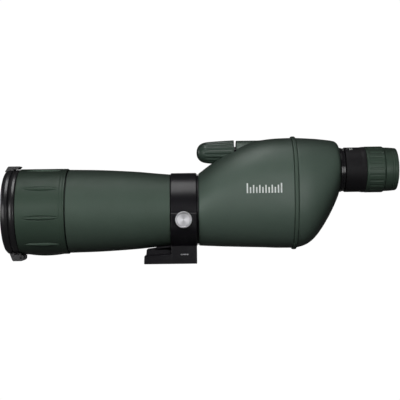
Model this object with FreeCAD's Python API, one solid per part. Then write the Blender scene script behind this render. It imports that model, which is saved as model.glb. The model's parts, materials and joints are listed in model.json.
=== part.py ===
import FreeCAD, Part
import math
import os

# Straight zoom spotting scope with a rotating tripod collar, in millimetres.
# +X runs along the optical axis from objective (front) to eyepiece (rear), +Z is up.
# The origin is the mouth of the tripod thread on the foot's underside.
# R_ is a radius, X_ and Z_ are places, and 0 and 1 mark the front and rear end of a part.

os.makedirs("parts", exist_ok=True)

Vector = FreeCAD.Vector
UP, DOWN = Vector(0, 0, 1), Vector(0, 0, -1)

Z_OBJ = 48.2                    # objective axis over the foot's underside
AXIS_OFFSET = 34.5              # eyepiece axis above the objective axis
Z_EYE = Z_OBJ + AXIS_OFFSET     # eyepiece axis
Z_FOCUS = Z_OBJ + 51.6          # focus knob axis

PIECES = []


def piece(make):
    """Register a function that builds the piece of the same name."""
    PIECES.append(make)
    return make


# ---------------------------------------------------------------------------
# shape helpers
# ---------------------------------------------------------------------------
def spin(face, z):
    """Revolve a face about the line parallel to X at height z."""
    return face.revolve(Vector(0, 0, z), Vector(1, 0, 0), 360)


def polygon(points):
    return Part.makePolygon(points + points[:1])


def polygon_face(points):
    return Part.Face(polygon(points))


def turned(profile, z=Z_OBJ):
    """Turn a closed outline of (x, radius) points about the axis at height z."""
    return spin(polygon_face([Vector(x, 0, z + radius) for x, radius in profile]), z)


def tube(x0, x1, outer, inner, z=Z_OBJ, chamfer=0.0):
    """Tube along X, with both outer rims chamfered if asked."""
    if chamfer:
        rim = [(x0, outer - chamfer), (x0 + chamfer, outer),
               (x1 - chamfer, outer), (x1, outer - chamfer)]
    else:
        rim = [(x0, outer), (x1, outer)]
    return turned([(x0, inner)] + rim + [(x1, inner)], z)


def rod_x(x0, x1, radius, z=Z_OBJ, y=0.0):
    return Part.makeCylinder(radius, x1 - x0, Vector(x0, y, z), Vector(1, 0, 0))


def rod_y(y0, y1, radius, x, z):
    return Part.makeCylinder(radius, y1 - y0, Vector(x, y0, z), Vector(0, 1, 0))


def rod_z(z0, z1, radius, x=0.0):
    return Part.makeCylinder(radius, z1 - z0, Vector(x, 0, z0), UP)


def box(x0, x1, y0, y1, z0, z1):
    return Part.makeBox(x1 - x0, y1 - y0, z1 - z0, Vector(x0, y0, z0))


def side_block(outline, y0, y1):
    """Extrude a side view of (x, height over the objective axis) points from y0 to y1."""
    face = polygon_face([Vector(x, y0, Z_OBJ + height) for x, height in outline])
    return face.extrude(Vector(0, y1 - y0, 0))


def spline(profile, z=Z_OBJ, **end_tangents):
    """Smooth edge through (x, radius) points."""
    curve = Part.BSplineCurve()
    curve.interpolate([Vector(x, 0, z + radius) for x, radius in profile], **end_tangents)
    return curve.toShape()


def lines(profile, z=Z_OBJ):
    """Straight edges through (x, radius) points, left open."""
    points = [Vector(x, 0, z + radius) for x, radius in profile]
    return [Part.makeLine(a, b) for a, b in zip(points, points[1:])]


def lens(x0, x1, radius, sag0, sag1, z=Z_OBJ, extra=0.0):
    """Lens with edge faces at x0 and x1; a positive sag bulges, a negative one is hollow.

    extra lengthens the blank at both ends before the faces are cut.
    """
    body = rod_x(x0 - max(0.0, sag0) - extra, x1 + max(0.0, sag1) + extra, radius, z)
    for x_edge, sag, inward in ((x0, sag0, 1), (x1, sag1, -1)):
        ball_radius = (radius ** 2 + sag ** 2) / (2 * abs(sag))
        if sag > 0:
            centre = Vector(x_edge + inward * (ball_radius - sag), 0, z)
            body = body.common(Part.makeSphere(ball_radius, centre))
        else:
            centre = Vector(x_edge + inward * (-sag - ball_radius), 0, z)
            body = body.cut(Part.makeSphere(ball_radius, centre))
    return body


def fuse_all(shapes):
    """Fuse the shapes one after another."""
    result = shapes[0]
    for shape in shapes[1:]:
        result = result.fuse(shape)
    return result


def cut_together(body, tools):
    """Cut many alike tools in one step."""
    return body.cut(tools[0].multiFuse(tools[1:]))


def rods_at(x0, x1, radius, places):
    """Rods along X at (y, height over the objective axis) places."""
    return [rod_x(x0, x1, radius, Z_OBJ + height, y) for y, height in places]


def drill(body, x0, x1, radius, places):
    for hole in rods_at(x0, x1, radius, places):
        body = body.cut(hole)
    return body


# ---------------------------------------------------------------------------
# objective cover and sunshade
# ---------------------------------------------------------------------------
X_LID0, X_LID1 = -160.3, -153.4
X_RING1 = -147.5                # rear end of the cover ring's visible band
R_RING = 38.0
X_SHADE0, X_SHADE1 = -147.3, -104.0
R_SHADE = 38.7                  # over the sunshade's rubber
R_SHADE_TUBE = 37.2             # sunshade's metal tube, outside
R_SHADE_BORE = 36.0             # sunshade's metal tube, inside
R_GRIP_BORE = R_SHADE_TUBE + 0.01
PIN_X, PIN_Z = -147.5, Z_OBJ - 41.4     # lid hinge pin
R_PIN = 1.0
EAR_Y0, EAR_Y1 = 5.1, 8.5       # lid ears, on both sides of the ring's lug


@piece
def cover_ring():
    x0 = X_LID1 + 0.1
    ring = turned([
        (x0, 34.5), (x0, R_RING - 0.5), (X_LID1 + 0.6, R_RING), (X_RING1 - 0.4, R_RING),
        (X_RING1, R_RING - 0.4), (X_RING1, 35.95), (-144.2, 35.95), (-144.0, 35.7),
        (-144.0, 34.5)])
    lug = side_block([
        (-153.0, -36.2), (-153.0, -39.0), (-151.4, -44.2), (-146.2, -44.2),
        (-143.6, -39.2), (X_RING1, -39.2), (X_RING1, -36.2)], -4.9, 4.9)
    pin_hole = rod_y(-6, 6, R_PIN + 0.01, PIN_X, PIN_Z)
    return ring.fuse(lug).cut(pin_hole).removeSplitter()


@piece
def cover_hinge_pin():
    return rod_y(-8.6, 8.6, R_PIN, PIN_X, PIN_Z)


def lid_ear(y0, y1):
    ear = side_block([
        (-157.4, -34.5), (-157.4, -38.0), (-155.3, -43.4), (-154.4, -44.3),
        (PIN_X, -44.3), (PIN_X, -38.6), (X_LID1, -38.6), (X_LID1, -34.5)], y0, y1)
    ear = ear.fuse(rod_y(y0, y1, 2.9, PIN_X, PIN_Z))
    return ear.cut(rod_y(y0 - 1, y1 + 1, R_PIN + 0.05, PIN_X, PIN_Z))


@piece
def cover_lid():
    disc = turned([
        (X_LID0 + 1.2, 0.0), (X_LID0 + 1.2, 30.5), (X_LID0, 32.0), (X_LID0, 36.2),
        (X_LID0 + 1.4, 38.2), (X_LID1, 38.2), (X_LID1, 33.0), (X_LID1 + 1.5, 32.8),
        (X_LID1 + 1.5, 31.2), (X_LID1 - 1.5, 31.0), (X_LID1 - 1.5, 0.0)])
    # tab on top, reaching back over the ring
    tab = side_block([
        (X_LID0 - 1.2, 36.0), (X_LID0 + 1.5, 40.4), (X_LID0 + 2.3, 41.2), (-147.2, 41.2),
        (-149.6, 38.6), (X_LID1 - 0.05, 38.6), (X_LID1 - 0.05, 36.0)], -6.5, 6.5)
    ears = [lid_ear(-EAR_Y1, -EAR_Y0), lid_ear(EAR_Y0, EAR_Y1)]
    return fuse_all([disc] + ears + [tab]).removeSplitter()


@piece
def sunshade_tube():
    return tube(X_SHADE0, X_SHADE1 - 0.3, R_SHADE_TUBE, R_SHADE_BORE)


def grip_leaf(angle):
    """Leaf-shaped rib lying along X, kept clear of the metal tube."""
    middle_x, half_length, height = -125.2, 19.2, 1.95
    z = Z_OBJ + R_SHADE - 0.65
    front = Vector(middle_x - half_length, 0, z)
    rear = Vector(middle_x + half_length, 0, z)
    arc = Part.Arc(front, Vector(middle_x, 0, z + height), rear).toShape()
    leaf = spin(Part.Face(Part.Wire([arc, Part.makeLine(rear, front)])), z)
    leaf.rotate(Vector(0, 0, Z_OBJ), Vector(1, 0, 0), angle)
    return leaf.cut(rod_x(-150, -100, R_GRIP_BORE))


@piece
def sunshade_grip():
    x0, x1 = X_SHADE0 + 0.1, X_SHADE1 - 0.2
    leaf_count, first_angle = 9, 58.0
    sleeve = turned([
        (x0, R_GRIP_BORE), (x0, R_SHADE - 0.4), (X_SHADE0 + 0.6, R_SHADE),
        (X_SHADE1 - 0.8, R_SHADE), (x1, R_SHADE - 0.6), (x1, R_GRIP_BORE)])
    pitch = 360.0 / leaf_count
    grip = fuse_all([sleeve] + [grip_leaf(first_angle + pitch * k) for k in range(leaf_count)])
    # relief for the turning ears of the lid
    return grip.cut(rod_y(-9.0, 9.0, 3.3, PIN_X, PIN_Z)).removeSplitter()


# ---------------------------------------------------------------------------
# barrel and objective
# ---------------------------------------------------------------------------
X_BAR0, X_BAR1 = -143.0, 19.0
R_BAR_FRONT = 35.6
R_BAR_BORE = 34.0
R_JOURNAL = 30.96               # where the collar turns
R_OBJ_LENS = 31.55
# outside of the rubber armour: x, radius
ARMOUR = [
    (-103.6, 37.75), (-99.2, 37.65), (-90.1, 37.45), (-81.0, 37.25), (-71.9, 36.9),
    (-62.8, 36.45), (-53.7, 35.9), (-44.6, 35.3), (-40.0, 34.95), (-30.9, 34.05),
    (-21.8, 33.15), (-12.2, 32.3)]
X_ARMOUR0, X_ARMOUR1 = ARMOUR[0][0], ARMOUR[-1][0]
# metal under the armour where the barrel tapers: x, radius
TAPER = [(x, radius - 1.95) for x, radius in ARMOUR[2:-1]]
X_GROOVE0, X_GROOVE1 = -140.0, -136.5   # groove for the friction ring
R_GROOVE = R_BAR_FRONT - 0.5


@piece
def main_barrel():
    outside = [(X_BAR0, R_BAR_FRONT), (X_ARMOUR0, R_BAR_FRONT)] + TAPER + [
        (X_ARMOUR1, R_JOURNAL - 0.6), (X_ARMOUR1 + 0.01, R_JOURNAL), (14.0, R_JOURNAL),
        (14.01, R_JOURNAL - 0.06), (X_BAR1, R_JOURNAL - 0.06)]
    inside = [
        (X_BAR1, 28.6), (-12.0, 28.6), (-40.0, 31.0), (-72.0, 33.2), (-103.0, R_BAR_BORE),
        (X_BAR0, R_BAR_BORE)]
    groove = tube(X_GROOVE0, X_GROOVE1, R_BAR_FRONT + 1, R_GROOVE)
    return turned(outside + inside).cut(groove)


@piece
def sunshade_friction_ring():
    return tube(X_GROOVE0 + 0.02, X_GROOVE1 - 0.02, R_SHADE_BORE - 0.03, R_GROOVE + 0.02)


@piece
def barrel_armour():
    fit = 0.01
    inside = [(X_ARMOUR0, R_BAR_FRONT + fit)] + [(x, radius + fit) for x, radius in TAPER]
    inside.append((X_ARMOUR1, R_JOURNAL + 0.02))
    back_to_start = [ARMOUR[-1]] + inside[::-1] + [ARMOUR[0]]
    return spin(Part.Face(Part.Wire([spline(ARMOUR)] + lines(back_to_start))), Z_OBJ)


@piece
def objective_cell():
    outer, seat = R_BAR_BORE - 0.05, R_OBJ_LENS + 0.07
    return turned([
        (-142.8, outer), (-118.0, outer), (-118.0, 29.5), (-126.0, 29.5), (-126.0, seat),
        (-142.8, seat)])


@piece
def objective_retainer():
    return tube(-142.6, -140.2, R_OBJ_LENS + 0.05, 30.0, chamfer=0.3)


@piece
def crown_lens():
    return lens(-139.4, -135.2, R_OBJ_LENS, sag0=0.7, sag1=1.6)


@piece
def lens_spacer():
    return tube(-135.1, -132.35, R_OBJ_LENS, 31.0)


@piece
def flint_lens():
    return lens(-132.3, -126.1, R_OBJ_LENS, sag0=-2.4, sag1=0.3)


@piece
def barrel_baffles():
    # front face x, outer radius, inner radius
    baffles = [(-84.0, 33.3, 27.0), (-58.0, 32.0, 23.5), (-30.0, 30.0, 20.0)]
    return fuse_all([tube(x, x + 1.2, outer, inner) for x, outer, inner in baffles])


# ---------------------------------------------------------------------------
# tripod collar with foot, and its lock on the -Y side
# ---------------------------------------------------------------------------
COLLAR_HALF = 11.8              # half length along X
LOCK_HALF = COLLAR_HALF - 0.5   # half length of the lock boss
R_COLLAR = 33.4
R_LINER = 31.0                  # bore of the liner
R_COLLAR_BORE = R_LINER + 0.6
FOOT_HALF_W = 15.0
FOOT_TOE_X = -36.2
FOOT_HEEL_X = 11.4
LOCK_FACE_Y = -36.4
R_THREAD = 3.175                # 1/4 inch tripod thread, major radius
THREAD_LEN = 9.5
R_INSERT = 4.7
Z_LOCK = Z_OBJ - 8.1
R_LOCK_KNOB = 7.3
R_LOCK_SCREW = 2.0


def collar_rectangle(y0, y1, z):
    return polygon([Vector(x, y, z) for x, y in (
        (-LOCK_HALF, y0), (LOCK_HALF, y0), (LOCK_HALF, y1), (-LOCK_HALF, y1))])


@piece
def tripod_collar():
    inside_x = -COLLAR_HALF + 1     # where toe and spine end inside the block
    boss_inner_y, boss_bottom = -10.0, Z_OBJ - 22.0
    ring = tube(-COLLAR_HALF, COLLAR_HALF, R_COLLAR, R_COLLAR_BORE, chamfer=0.7)
    lock_boss = box(-LOCK_HALF, LOCK_HALF, LOCK_FACE_Y, boss_inner_y, boss_bottom, Z_OBJ - 2.2)
    # tapered flank from the flat lock face down to the foot
    flank = Part.makeLoft([
        collar_rectangle(LOCK_FACE_Y, boss_inner_y, boss_bottom),
        collar_rectangle(-FOOT_HALF_W, -9.0, Z_OBJ - 31.8)], True, True)
    web = box(-LOCK_HALF, LOCK_HALF, -FOOT_HALF_W, FOOT_HALF_W, Z_OBJ - 34.0, Z_OBJ - 27.0)
    block = box(-COLLAR_HALF, FOOT_HEEL_X, -FOOT_HALF_W, FOOT_HALF_W, 0, Z_OBJ - 31.6)
    toe = side_block([
        (FOOT_TOE_X, -Z_OBJ), (inside_x, -Z_OBJ), (inside_x, -39.0),
        (FOOT_TOE_X + 0.3, -40.8)], -FOOT_HALF_W, FOOT_HALF_W)
    spine = side_block([
        (FOOT_TOE_X + 1.4, -42.0), (FOOT_TOE_X + 2.2, -35.4), (-24.5, -34.0),
        (inside_x, -32.9), (inside_x, -42.0)], -8.0, 8.0)
    collar = fuse_all([ring, lock_boss, flank, web, block, toe, spine])
    # clear the ring's bore, then the room in which the barrel's armour turns over the toe
    collar = collar.cut(rod_x(-COLLAR_HALF - 0.01, COLLAR_HALF + 0.01, R_COLLAR_BORE))
    collar = collar.cut(turned([
        (-60.0, 0), (-60.0, 36.6), (-44.6, 35.9), (-30.9, 34.65), (-21.8, 33.75),
        (-11.95, 32.9), (-11.85, 0)]))
    collar = collar.cut(rod_z(-0.01, THREAD_LEN + 0.09, R_INSERT + 0.03))
    collar = collar.cut(rod_y(-40, -28, R_LOCK_SCREW + 0.05, 0, Z_LOCK))
    return collar.removeSplitter()


@piece
def collar_liner():
    liner = tube(-11.0, 11.0, R_COLLAR_BORE - 0.02, R_LINER)
    return liner.cut(rod_y(-40, -28, 2.6, 0, Z_LOCK))


@piece
def thread_insert():
    return rod_z(0, THREAD_LEN, R_INSERT).cut(rod_z(-0.5, THREAD_LEN + 0.5, R_THREAD))


@piece
def lock_knob():
    y0, y1 = -45.9, -37.1
    tooth_count, tooth_circle = 36, R_LOCK_KNOB + 0.12
    knob = rod_y(y0, y1, R_LOCK_KNOB, 0, Z_LOCK)
    knob = knob.makeFillet(0.7, [e for e in knob.Edges if isinstance(e.Curve, Part.Circle)])
    # shallow recess in the outer face, and the hole for the screw
    knob = knob.cut(rod_y(-46.0, -45.5, R_LOCK_KNOB - 1.1, 0, Z_LOCK))
    knob = knob.cut(rod_y(-43.0, -36.0, R_LOCK_SCREW + 0.02, 0, Z_LOCK))
    # straight knurl on the rim
    knurl = []
    for k in range(tooth_count):
        angle = 2 * math.pi * k / tooth_count
        knurl.append(rod_y(-44.7, -38.3, 0.38, tooth_circle * math.cos(angle),
                           Z_LOCK + tooth_circle * math.sin(angle)))
    return cut_together(knob, knurl)


@piece
def lock_screw():
    return rod_y(-42.9, -33.05, R_LOCK_SCREW, 0, Z_LOCK)


@piece
def lock_pad():
    return rod_y(-33.0, -30.47, R_LOCK_SCREW - 0.05, 0, Z_LOCK)


# ---------------------------------------------------------------------------
# prism housing: front shell, rear cover and the bead over their seam
# ---------------------------------------------------------------------------
# stations: x, bottom and top over the objective axis, half width, roundness
# (roundness is the exponent of the oval: 2 is an ellipse, more is fuller)
HOUSING = [
    (13.2, -32.6, 32.6, 32.6, 2.0), (17.0, -32.9, 35.3, 33.4, 2.03),
    (21.0, -33.1, 38.3, 34.1, 2.06), (27.3, -33.4, 43.2, 34.9, 2.1),
    (35.0, -33.8, 48.2, 35.5, 2.15), (46.4, -34.2, 54.6, 36.1, 2.2),
    (58.0, -34.6, 59.0, 36.5, 2.25), (71.0, -35.0, 62.3, 36.8, 2.3),
    (85.0, -35.6, 63.7, 36.9, 2.3), (98.7, -35.8, 64.0, 36.9, 2.3)]
COVER = [
    (98.7, -35.6, 64.0, 36.9, 2.3), (105.6, -34.5, 63.75, 36.4, 2.3),
    (110.1, -32.8, 63.5, 35.8, 2.3), (114.7, -29.8, 63.2, 34.9, 2.28),
    (119.2, -25.4, 62.9, 33.7, 2.25), (123.8, -19.3, 62.4, 32.3, 2.22),
    (128.3, -12.2, 61.9, 30.6, 2.18), (132.9, -4.0, 61.3, 28.6, 2.12),
    (136.5, 3.5, 60.5, 26.5, 2.06), (138.4, 7.9, 59.2, 25.0, 2.03),
    (139.7, 11.4, 57.4, 23.2, 2.0), (140.4, 13.9, 55.1, 21.0, 2.0)]
SKIN = 2.6                      # wall thickness
X_SEAM0, X_SEAM1 = 97.3, 100.9
SEAM_UP = 1.35                  # the bead's height over the housing
X_BOSS0, X_BOSS1 = 47.8, 72.0   # boss behind the focus knob
R_BOSS = 10.6
R_CHANNEL = 11.8                # channel in which the focus knob lies
X_PLATE0, X_PLATE1 = 86.2, 88.8     # prism plate
# plate screws in their pillars: y, height over the objective axis
PLATE_SCREWS = [(-24.0, 40.0), (24.0, 44.0), (-22.0, -12.0)]
R_PLATE_SCREW = 1.2
R_BUSHING = 4.5
R_EYE_SOCKET = 16.0             # eyepiece base inside the rear cover


def section(x, bottom, top, half_width, roundness, grow=0.0):
    """Closed oval; all have the same evenly spaced parameters, so lofts stay fair."""
    count = 24
    middle_z = Z_OBJ + (bottom + top) / 2.0
    half_height = (top - bottom) / 2.0 + grow
    half_width = half_width + grow
    points = []
    for i in range(count):
        cos, sin = math.cos(2 * math.pi * i / count), math.sin(2 * math.pi * i / count)
        # pushes the point of the ellipse out to the fuller oval
        push = (abs(cos) ** roundness + abs(sin) ** roundness) ** (-1.0 / roundness)
        points.append(Vector(x, push * half_width * cos, middle_z + push * half_height * sin))
    curve = Part.BSplineCurve()
    curve.interpolate(
        Points=points, Parameters=[float(i) for i in range(count + 1)], PeriodicFlag=True)
    return Part.Wire([curve.toShape()])


def loft(sections):
    return Part.makeLoft(sections, True, False, False, 2)


def housing_slice(x, grow, length):
    """Straight slab with the housing's section at x, running back from x."""
    for a, b in zip(HOUSING, HOUSING[1:]):
        if a[0] <= x <= b[0]:
            t = (x - a[0]) / (b[0] - a[0])
            station = [x] + [p + t * (q - p) for p, q in zip(a[1:], b[1:])]
            break
    return Part.Face(section(*station, grow=grow)).extrude(Vector(length, 0, 0))


def pillar(y, height):
    """Screw pillar for the prism plate, with a web out to the shell."""
    x0, x1 = 74.0, X_PLATE0 - 0.02
    web = box(x0, x1, 0, 16.0, -1.0, 1.0)
    outward = math.degrees(math.atan2(height - 14.0, y))
    web.rotate(Vector(0, 0, 0), Vector(1, 0, 0), outward)
    web.translate(Vector(0, y, Z_OBJ + height))
    return rod_x(x0, x1, 3.2, Z_OBJ + height, y).fuse(web)


@piece
def front_housing():
    outside = loft([section(*station) for station in HOUSING])
    cavity = loft(
        [section(16.0, -30.3, 32.0, 30.6, 2.0)]
        + [section(*station, grow=-SKIN) for station in HOUSING[2:-1]]
        + [section(99.5, -33.2, 61.4, 34.3, 2.3)])
    # material left around the knob channel and the bushing
    keep = rod_x(10.0, 50.4, R_CHANNEL + 2.2, Z_FOCUS).fuse(rod_x(49.0, 56.0, 7.0, Z_FOCUS))
    cavity = cavity.cut(keep)
    behind_seam = box(X_SEAM0, 130.0, -60, 60, -60, 160)

    shell = outside.fuse(rod_x(X_BOSS0, X_BOSS1, R_BOSS, Z_FOCUS))
    shell = shell.cut(rod_x(8.0, X_BOSS0, R_CHANNEL, Z_FOCUS)).cut(cavity)
    shell = shell.cut(rod_x(10.0, 24.0, R_JOURNAL))
    shell = shell.cut(rod_x(46.0, 60.0, R_BUSHING + 0.02, Z_FOCUS))
    shell = shell.cut(behind_seam)
    for place in PLATE_SCREWS:
        shell = shell.fuse(pillar(*place).common(outside))
        shell = drill(shell, 70.0, 90.0, R_PLATE_SCREW + 0.02, [place])
    shell = shell.cut(behind_seam).removeSplitter()
    # drop any loose scraps the cuts may leave
    if len(shell.Solids) > 1:
        shell = max(shell.Solids, key=lambda solid: solid.Volume)
    return shell


@piece
def rear_cover():
    stations = []
    for x, bottom, top, half_width, roundness in COVER[:8]:
        # the sloping part of the cavity is set forward and up, to thicken the wall
        shift = 1.2 if x > 110 else 0.0
        stations.append((x - shift, bottom + SKIN + 0.6 * shift, top - SKIN,
                         half_width - SKIN, roundness))
    stations[0] = (98.0,) + stations[0][1:]
    stations += [(134.8, 5.2, 56.4, 24.4, 2.05), (137.0, 10.5, 54.0, 20.4, 2.0)]
    cover = loft([section(*station) for station in COVER])
    cover = cover.cut(loft([section(*station) for station in stations]))
    cover = cover.cut(rod_x(130.0, 145.0, R_EYE_SOCKET + 0.02, Z_EYE))
    return cover.cut(box(60.0, X_SEAM1, -60, 60, -60, 160)).removeSplitter()


@piece
def seam_bead():
    fit = 0.01
    bead = housing_slice(X_SEAM0, SEAM_UP, X_SEAM1 - X_SEAM0 - 2 * fit)
    # guards the rounding of the two rims: if it fails, the bead stays square
    try:
        bead = bead.makeFillet(1.0, [e for e in bead.Edges if e.BoundBox.XLength < 0.5])
    except Exception:
        pass
    bead = bead.cut(housing_slice(X_SEAM0, -SKIN, 8.0))
    bead.translate(Vector(fit, 0, 0))
    return bead


# ---------------------------------------------------------------------------
# Porro prisms, plate and focusing carriage
# ---------------------------------------------------------------------------
PRISM_HALF = 21.0               # half hypotenuse, also the depth to the roof edge
PRISM_HALF_W = 9.0
X_CARR0, X_CARR1 = 79.0, 81.6   # focus carriage
R_LEAD = 2.0                    # lead screw at the focus shaft's rear end
R_GUIDE = 1.5

STEP = AXIS_OFFSET / 2.0
DIAG = math.sqrt(0.5)
# prism frames as (y, z) pairs: centre over the objective axis, direction along the
# hypotenuse, direction across it
REAR = ((STEP / 2, STEP / 2), (DIAG, DIAG), (-DIAG, DIAG))
FRONT = ((STEP / 2, 1.5 * STEP), (-DIAG, DIAG), (DIAG, DIAG))
# clips: frame, x of the clip's feet, direction towards the roof edge
REAR_CLIP = (REAR, X_PLATE1 + 0.01, 1)
FRONT_CLIP = (FRONT, X_CARR0 - 0.01, -1)
CLIP_T = 0.8                    # thickness of the clip's sheet
R_CLIP_SCREW = 1.0
LIGHT_PATHS = [(0, 0), (STEP, STEP), (0, AXIS_OFFSET)]


def place_in(frame, along, across):
    """(y, height over the objective axis) of a point in a prism's frame."""
    centre, u, v = frame
    return tuple(centre[i] + along * u[i] + across * v[i] for i in (0, 1))


def point_in(x, frame, along, across):
    y, height = place_in(frame, along, across)
    return Vector(x, y, Z_OBJ + height)


def clip_screw_places(frame):
    return [place_in(frame, along, across) for across in (-12.6, 12.6) for along in (-5.0, 5.0)]


GUIDE_RODS = [place_in(FRONT, 27, 0), place_in(FRONT, -27, 0)]


def right_prism(frame, x_face, depth):
    """Prism with its hypotenuse at x_face and a flat in place of the sharp roof edge."""
    flat = 0.08
    # share of the depth, share of the half hypotenuse
    outline = [(0, -1), (0, 1), (flat, 1), (1, flat), (1, -flat), (flat, -1)]
    face = polygon_face([
        point_in(x_face + depth * deep, frame, PRISM_HALF * along, -PRISM_HALF_W)
        for deep, along in outline])
    across = frame[2]
    return face.extrude(Vector(0, across[0] * 2 * PRISM_HALF_W, across[1] * 2 * PRISM_HALF_W))


def slab(frame, x_ends, half_along, across_ends):
    """Block square to a prism's frame; the ends may come in either order."""
    x0, x1 = sorted(x_ends)
    v0, v1 = sorted(across_ends)
    corners = [(-half_along, v0), (half_along, v0), (half_along, v1), (-half_along, v1)]
    face = polygon_face([point_in(x0, frame, along, across) for along, across in corners])
    return face.extrude(Vector(x1 - x0, 0, 0))


def clip(frame, x_foot, facing):
    """Spring strap over the prism's roof edge, with feet beside the prism."""
    half_w = 1.5
    inner, outer = PRISM_HALF_W + 0.4, PRISM_HALF_W + 1.2
    under = x_foot + facing * (PRISM_HALF + 0.1)
    top = under + facing * CLIP_T
    parts = [slab(frame, (under, top), half_w, (-outer, outer))]
    for side in (-1, 1):
        parts.append(slab(frame, (x_foot, top), half_w, (side * inner, side * outer)))
        parts.append(slab(frame, (x_foot, x_foot + facing * CLIP_T), 7.0,
                          (side * inner, side * (PRISM_HALF_W + 5.4))))
    body = drill(fuse_all(parts), x_foot - 3, x_foot + 3, R_CLIP_SCREW + 0.05,
                 clip_screw_places(frame))
    return body.removeSplitter()


def clip_screws(frame, x_foot, facing):
    x_seat = x_foot + facing * (CLIP_T + 0.02)
    shank = sorted((x_foot - facing * 2.3, x_seat))
    head = sorted((x_seat, x_foot + facing * 2.0))
    places = clip_screw_places(frame)
    pairs = zip(rods_at(*shank, R_CLIP_SCREW, places), rods_at(*head, 1.9, places))
    return fuse_all([shank_rod.fuse(head_rod) for shank_rod, head_rod in pairs])


@piece
def rear_prism():
    return right_prism(REAR, X_PLATE1 + 0.02, PRISM_HALF)


@piece
def front_prism():
    return right_prism(FRONT, X_CARR0 - 0.02, -PRISM_HALF)


@piece
def prism_plate():
    x_shape = 87.0              # the plate takes the housing's section here
    plate = housing_slice(x_shape, -SKIN - 0.25, X_PLATE1 - X_PLATE0)
    plate.translate(Vector(X_PLATE0 - x_shape, 0, 0))
    plate = drill(plate, 80, 95, 9.4, LIGHT_PATHS)
    plate = plate.cut(rod_x(80, 95, R_LEAD + 0.05, Z_FOCUS))
    plate = drill(plate, 80, 95, R_GUIDE + 0.02, GUIDE_RODS)
    plate = drill(plate, 80, 95, 1.6, PLATE_SCREWS)
    return drill(plate, 80, 95, R_CLIP_SCREW + 0.02, clip_screw_places(REAR))


def plate_screw(y, height):
    z = Z_OBJ + height
    screw = rod_x(77.0, X_PLATE1, R_PLATE_SCREW, z, y)
    screw = screw.fuse(rod_x(X_PLATE1, X_PLATE1 + 1.6, 2.4, z, y))
    return screw.cut(box(X_PLATE1 + 0.9, X_PLATE1 + 2, y - 0.3, y + 0.3, z - 3, z + 3))


@piece
def plate_screws():
    return fuse_all([plate_screw(*place) for place in PLATE_SCREWS])


@piece
def guide_rods():
    return fuse_all(rods_at(54.0, X_PLATE1, R_GUIDE, GUIDE_RODS))


@piece
def rear_prism_clip():
    return clip(*REAR_CLIP)


@piece
def rear_clip_screws():
    return clip_screws(*REAR_CLIP)


@piece
def focus_carriage():
    ends = (X_CARR0, X_CARR1)
    carriage = fuse_all(
        [slab(FRONT, ends, 22.0, (-15.2, 15.2))]
        + rods_at(X_CARR0 - 4.0, X_CARR1, 3.2, GUIDE_RODS)
        + [slab(FRONT, ends, 27.0, (-3.0, 3.0)),
           # arm and hub for the lead screw
           box(X_CARR0, X_CARR1, -5.0, 5.0, Z_OBJ + 36.0, Z_FOCUS + 4.0),
           rod_x(X_CARR0 - 5.0, X_CARR1, 4.2, Z_FOCUS)])
    carriage = carriage.cut(rod_x(60, 90, R_LEAD + 0.05, Z_FOCUS))
    carriage = drill(carriage, 60, 90, R_GUIDE + 0.05, GUIDE_RODS)
    carriage = drill(carriage, 60, 90, 9.2, LIGHT_PATHS[1:])
    carriage = carriage.cut(rod_x(60, 90, 14.6))
    carriage = drill(carriage, 76.5, 90, R_CLIP_SCREW + 0.02, clip_screw_places(FRONT))
    # the rim stays inside the housing over the whole travel
    limit = housing_slice(74.0, -SKIN - 0.5, 16)
    limit.translate(Vector(-2, 0, 0))
    return carriage.common(limit).removeSplitter()


@piece
def front_prism_clip():
    return clip(*FRONT_CLIP)


@piece
def front_clip_screws():
    return clip_screws(*FRONT_CLIP)


# ---------------------------------------------------------------------------
# focus knob, shaft and bearing
# ---------------------------------------------------------------------------
X_KNOB0, X_KNOB1 = 12.0, 46.0
R_FKNOB = 11.0
X_CORE0, R_CORE = 19.0, 7.0     # hard core inside the knob's grip
R_SHAFT = 2.5


@piece
def focus_knob_grip():
    flute_count, flute_circle = 16, R_FKNOB + 0.62
    # domed outside as x behind the knob's front, radius
    dome = [
        (0, 0.0), (0.35, 2.9), (1.4, 5.4), (3.2, 7.4), (5.6, 8.75), (8.6, 9.5),
        (13.0, 9.95), (20.0, 10.4), (27.0, 10.75), (X_KNOB1 - 0.6 - X_KNOB0, R_FKNOB)]
    outside = spline([(X_KNOB0 + x, radius) for x, radius in dome], Z_FOCUS,
                     InitialTangent=UP, FinalTangent=Vector(1, 0, 0))
    bore = R_CORE + 0.02
    rest = lines([
        (X_KNOB1 - 0.6, R_FKNOB), (X_KNOB1, R_FKNOB - 0.6), (X_KNOB1, bore),
        (X_CORE0, bore), (X_CORE0, 0), (X_KNOB0, 0)], Z_FOCUS)
    grip = spin(Part.Face(Part.Wire([outside] + rest)), Z_FOCUS)
    flutes = []
    for k in range(flute_count):
        angle = 2 * math.pi * (k + 0.5) / flute_count
        flutes.append(rod_x(X_KNOB0, X_KNOB0 + 40.0, 1.5,
                            Z_FOCUS + flute_circle * math.cos(angle),
                            flute_circle * math.sin(angle)))
    return cut_together(grip, flutes)


@piece
def focus_knob_core():
    core = rod_x(X_CORE0 + 0.02, X_KNOB1 - 0.1, R_CORE, Z_FOCUS)
    return core.cut(rod_x(28.0, 47.0, R_SHAFT + 0.01, Z_FOCUS))


@piece
def focus_shaft():
    shaft = rod_x(28.02, 57.0, R_SHAFT, Z_FOCUS).fuse(rod_x(57.0, 88.4, R_LEAD, Z_FOCUS))
    # grooves for the O-ring and the clip
    shaft = shaft.cut(tube(50.4, 51.6, 3.0, 2.0, Z_FOCUS))
    return shaft.cut(tube(55.15, 56.05, 3.0, 1.9, Z_FOCUS))


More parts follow.
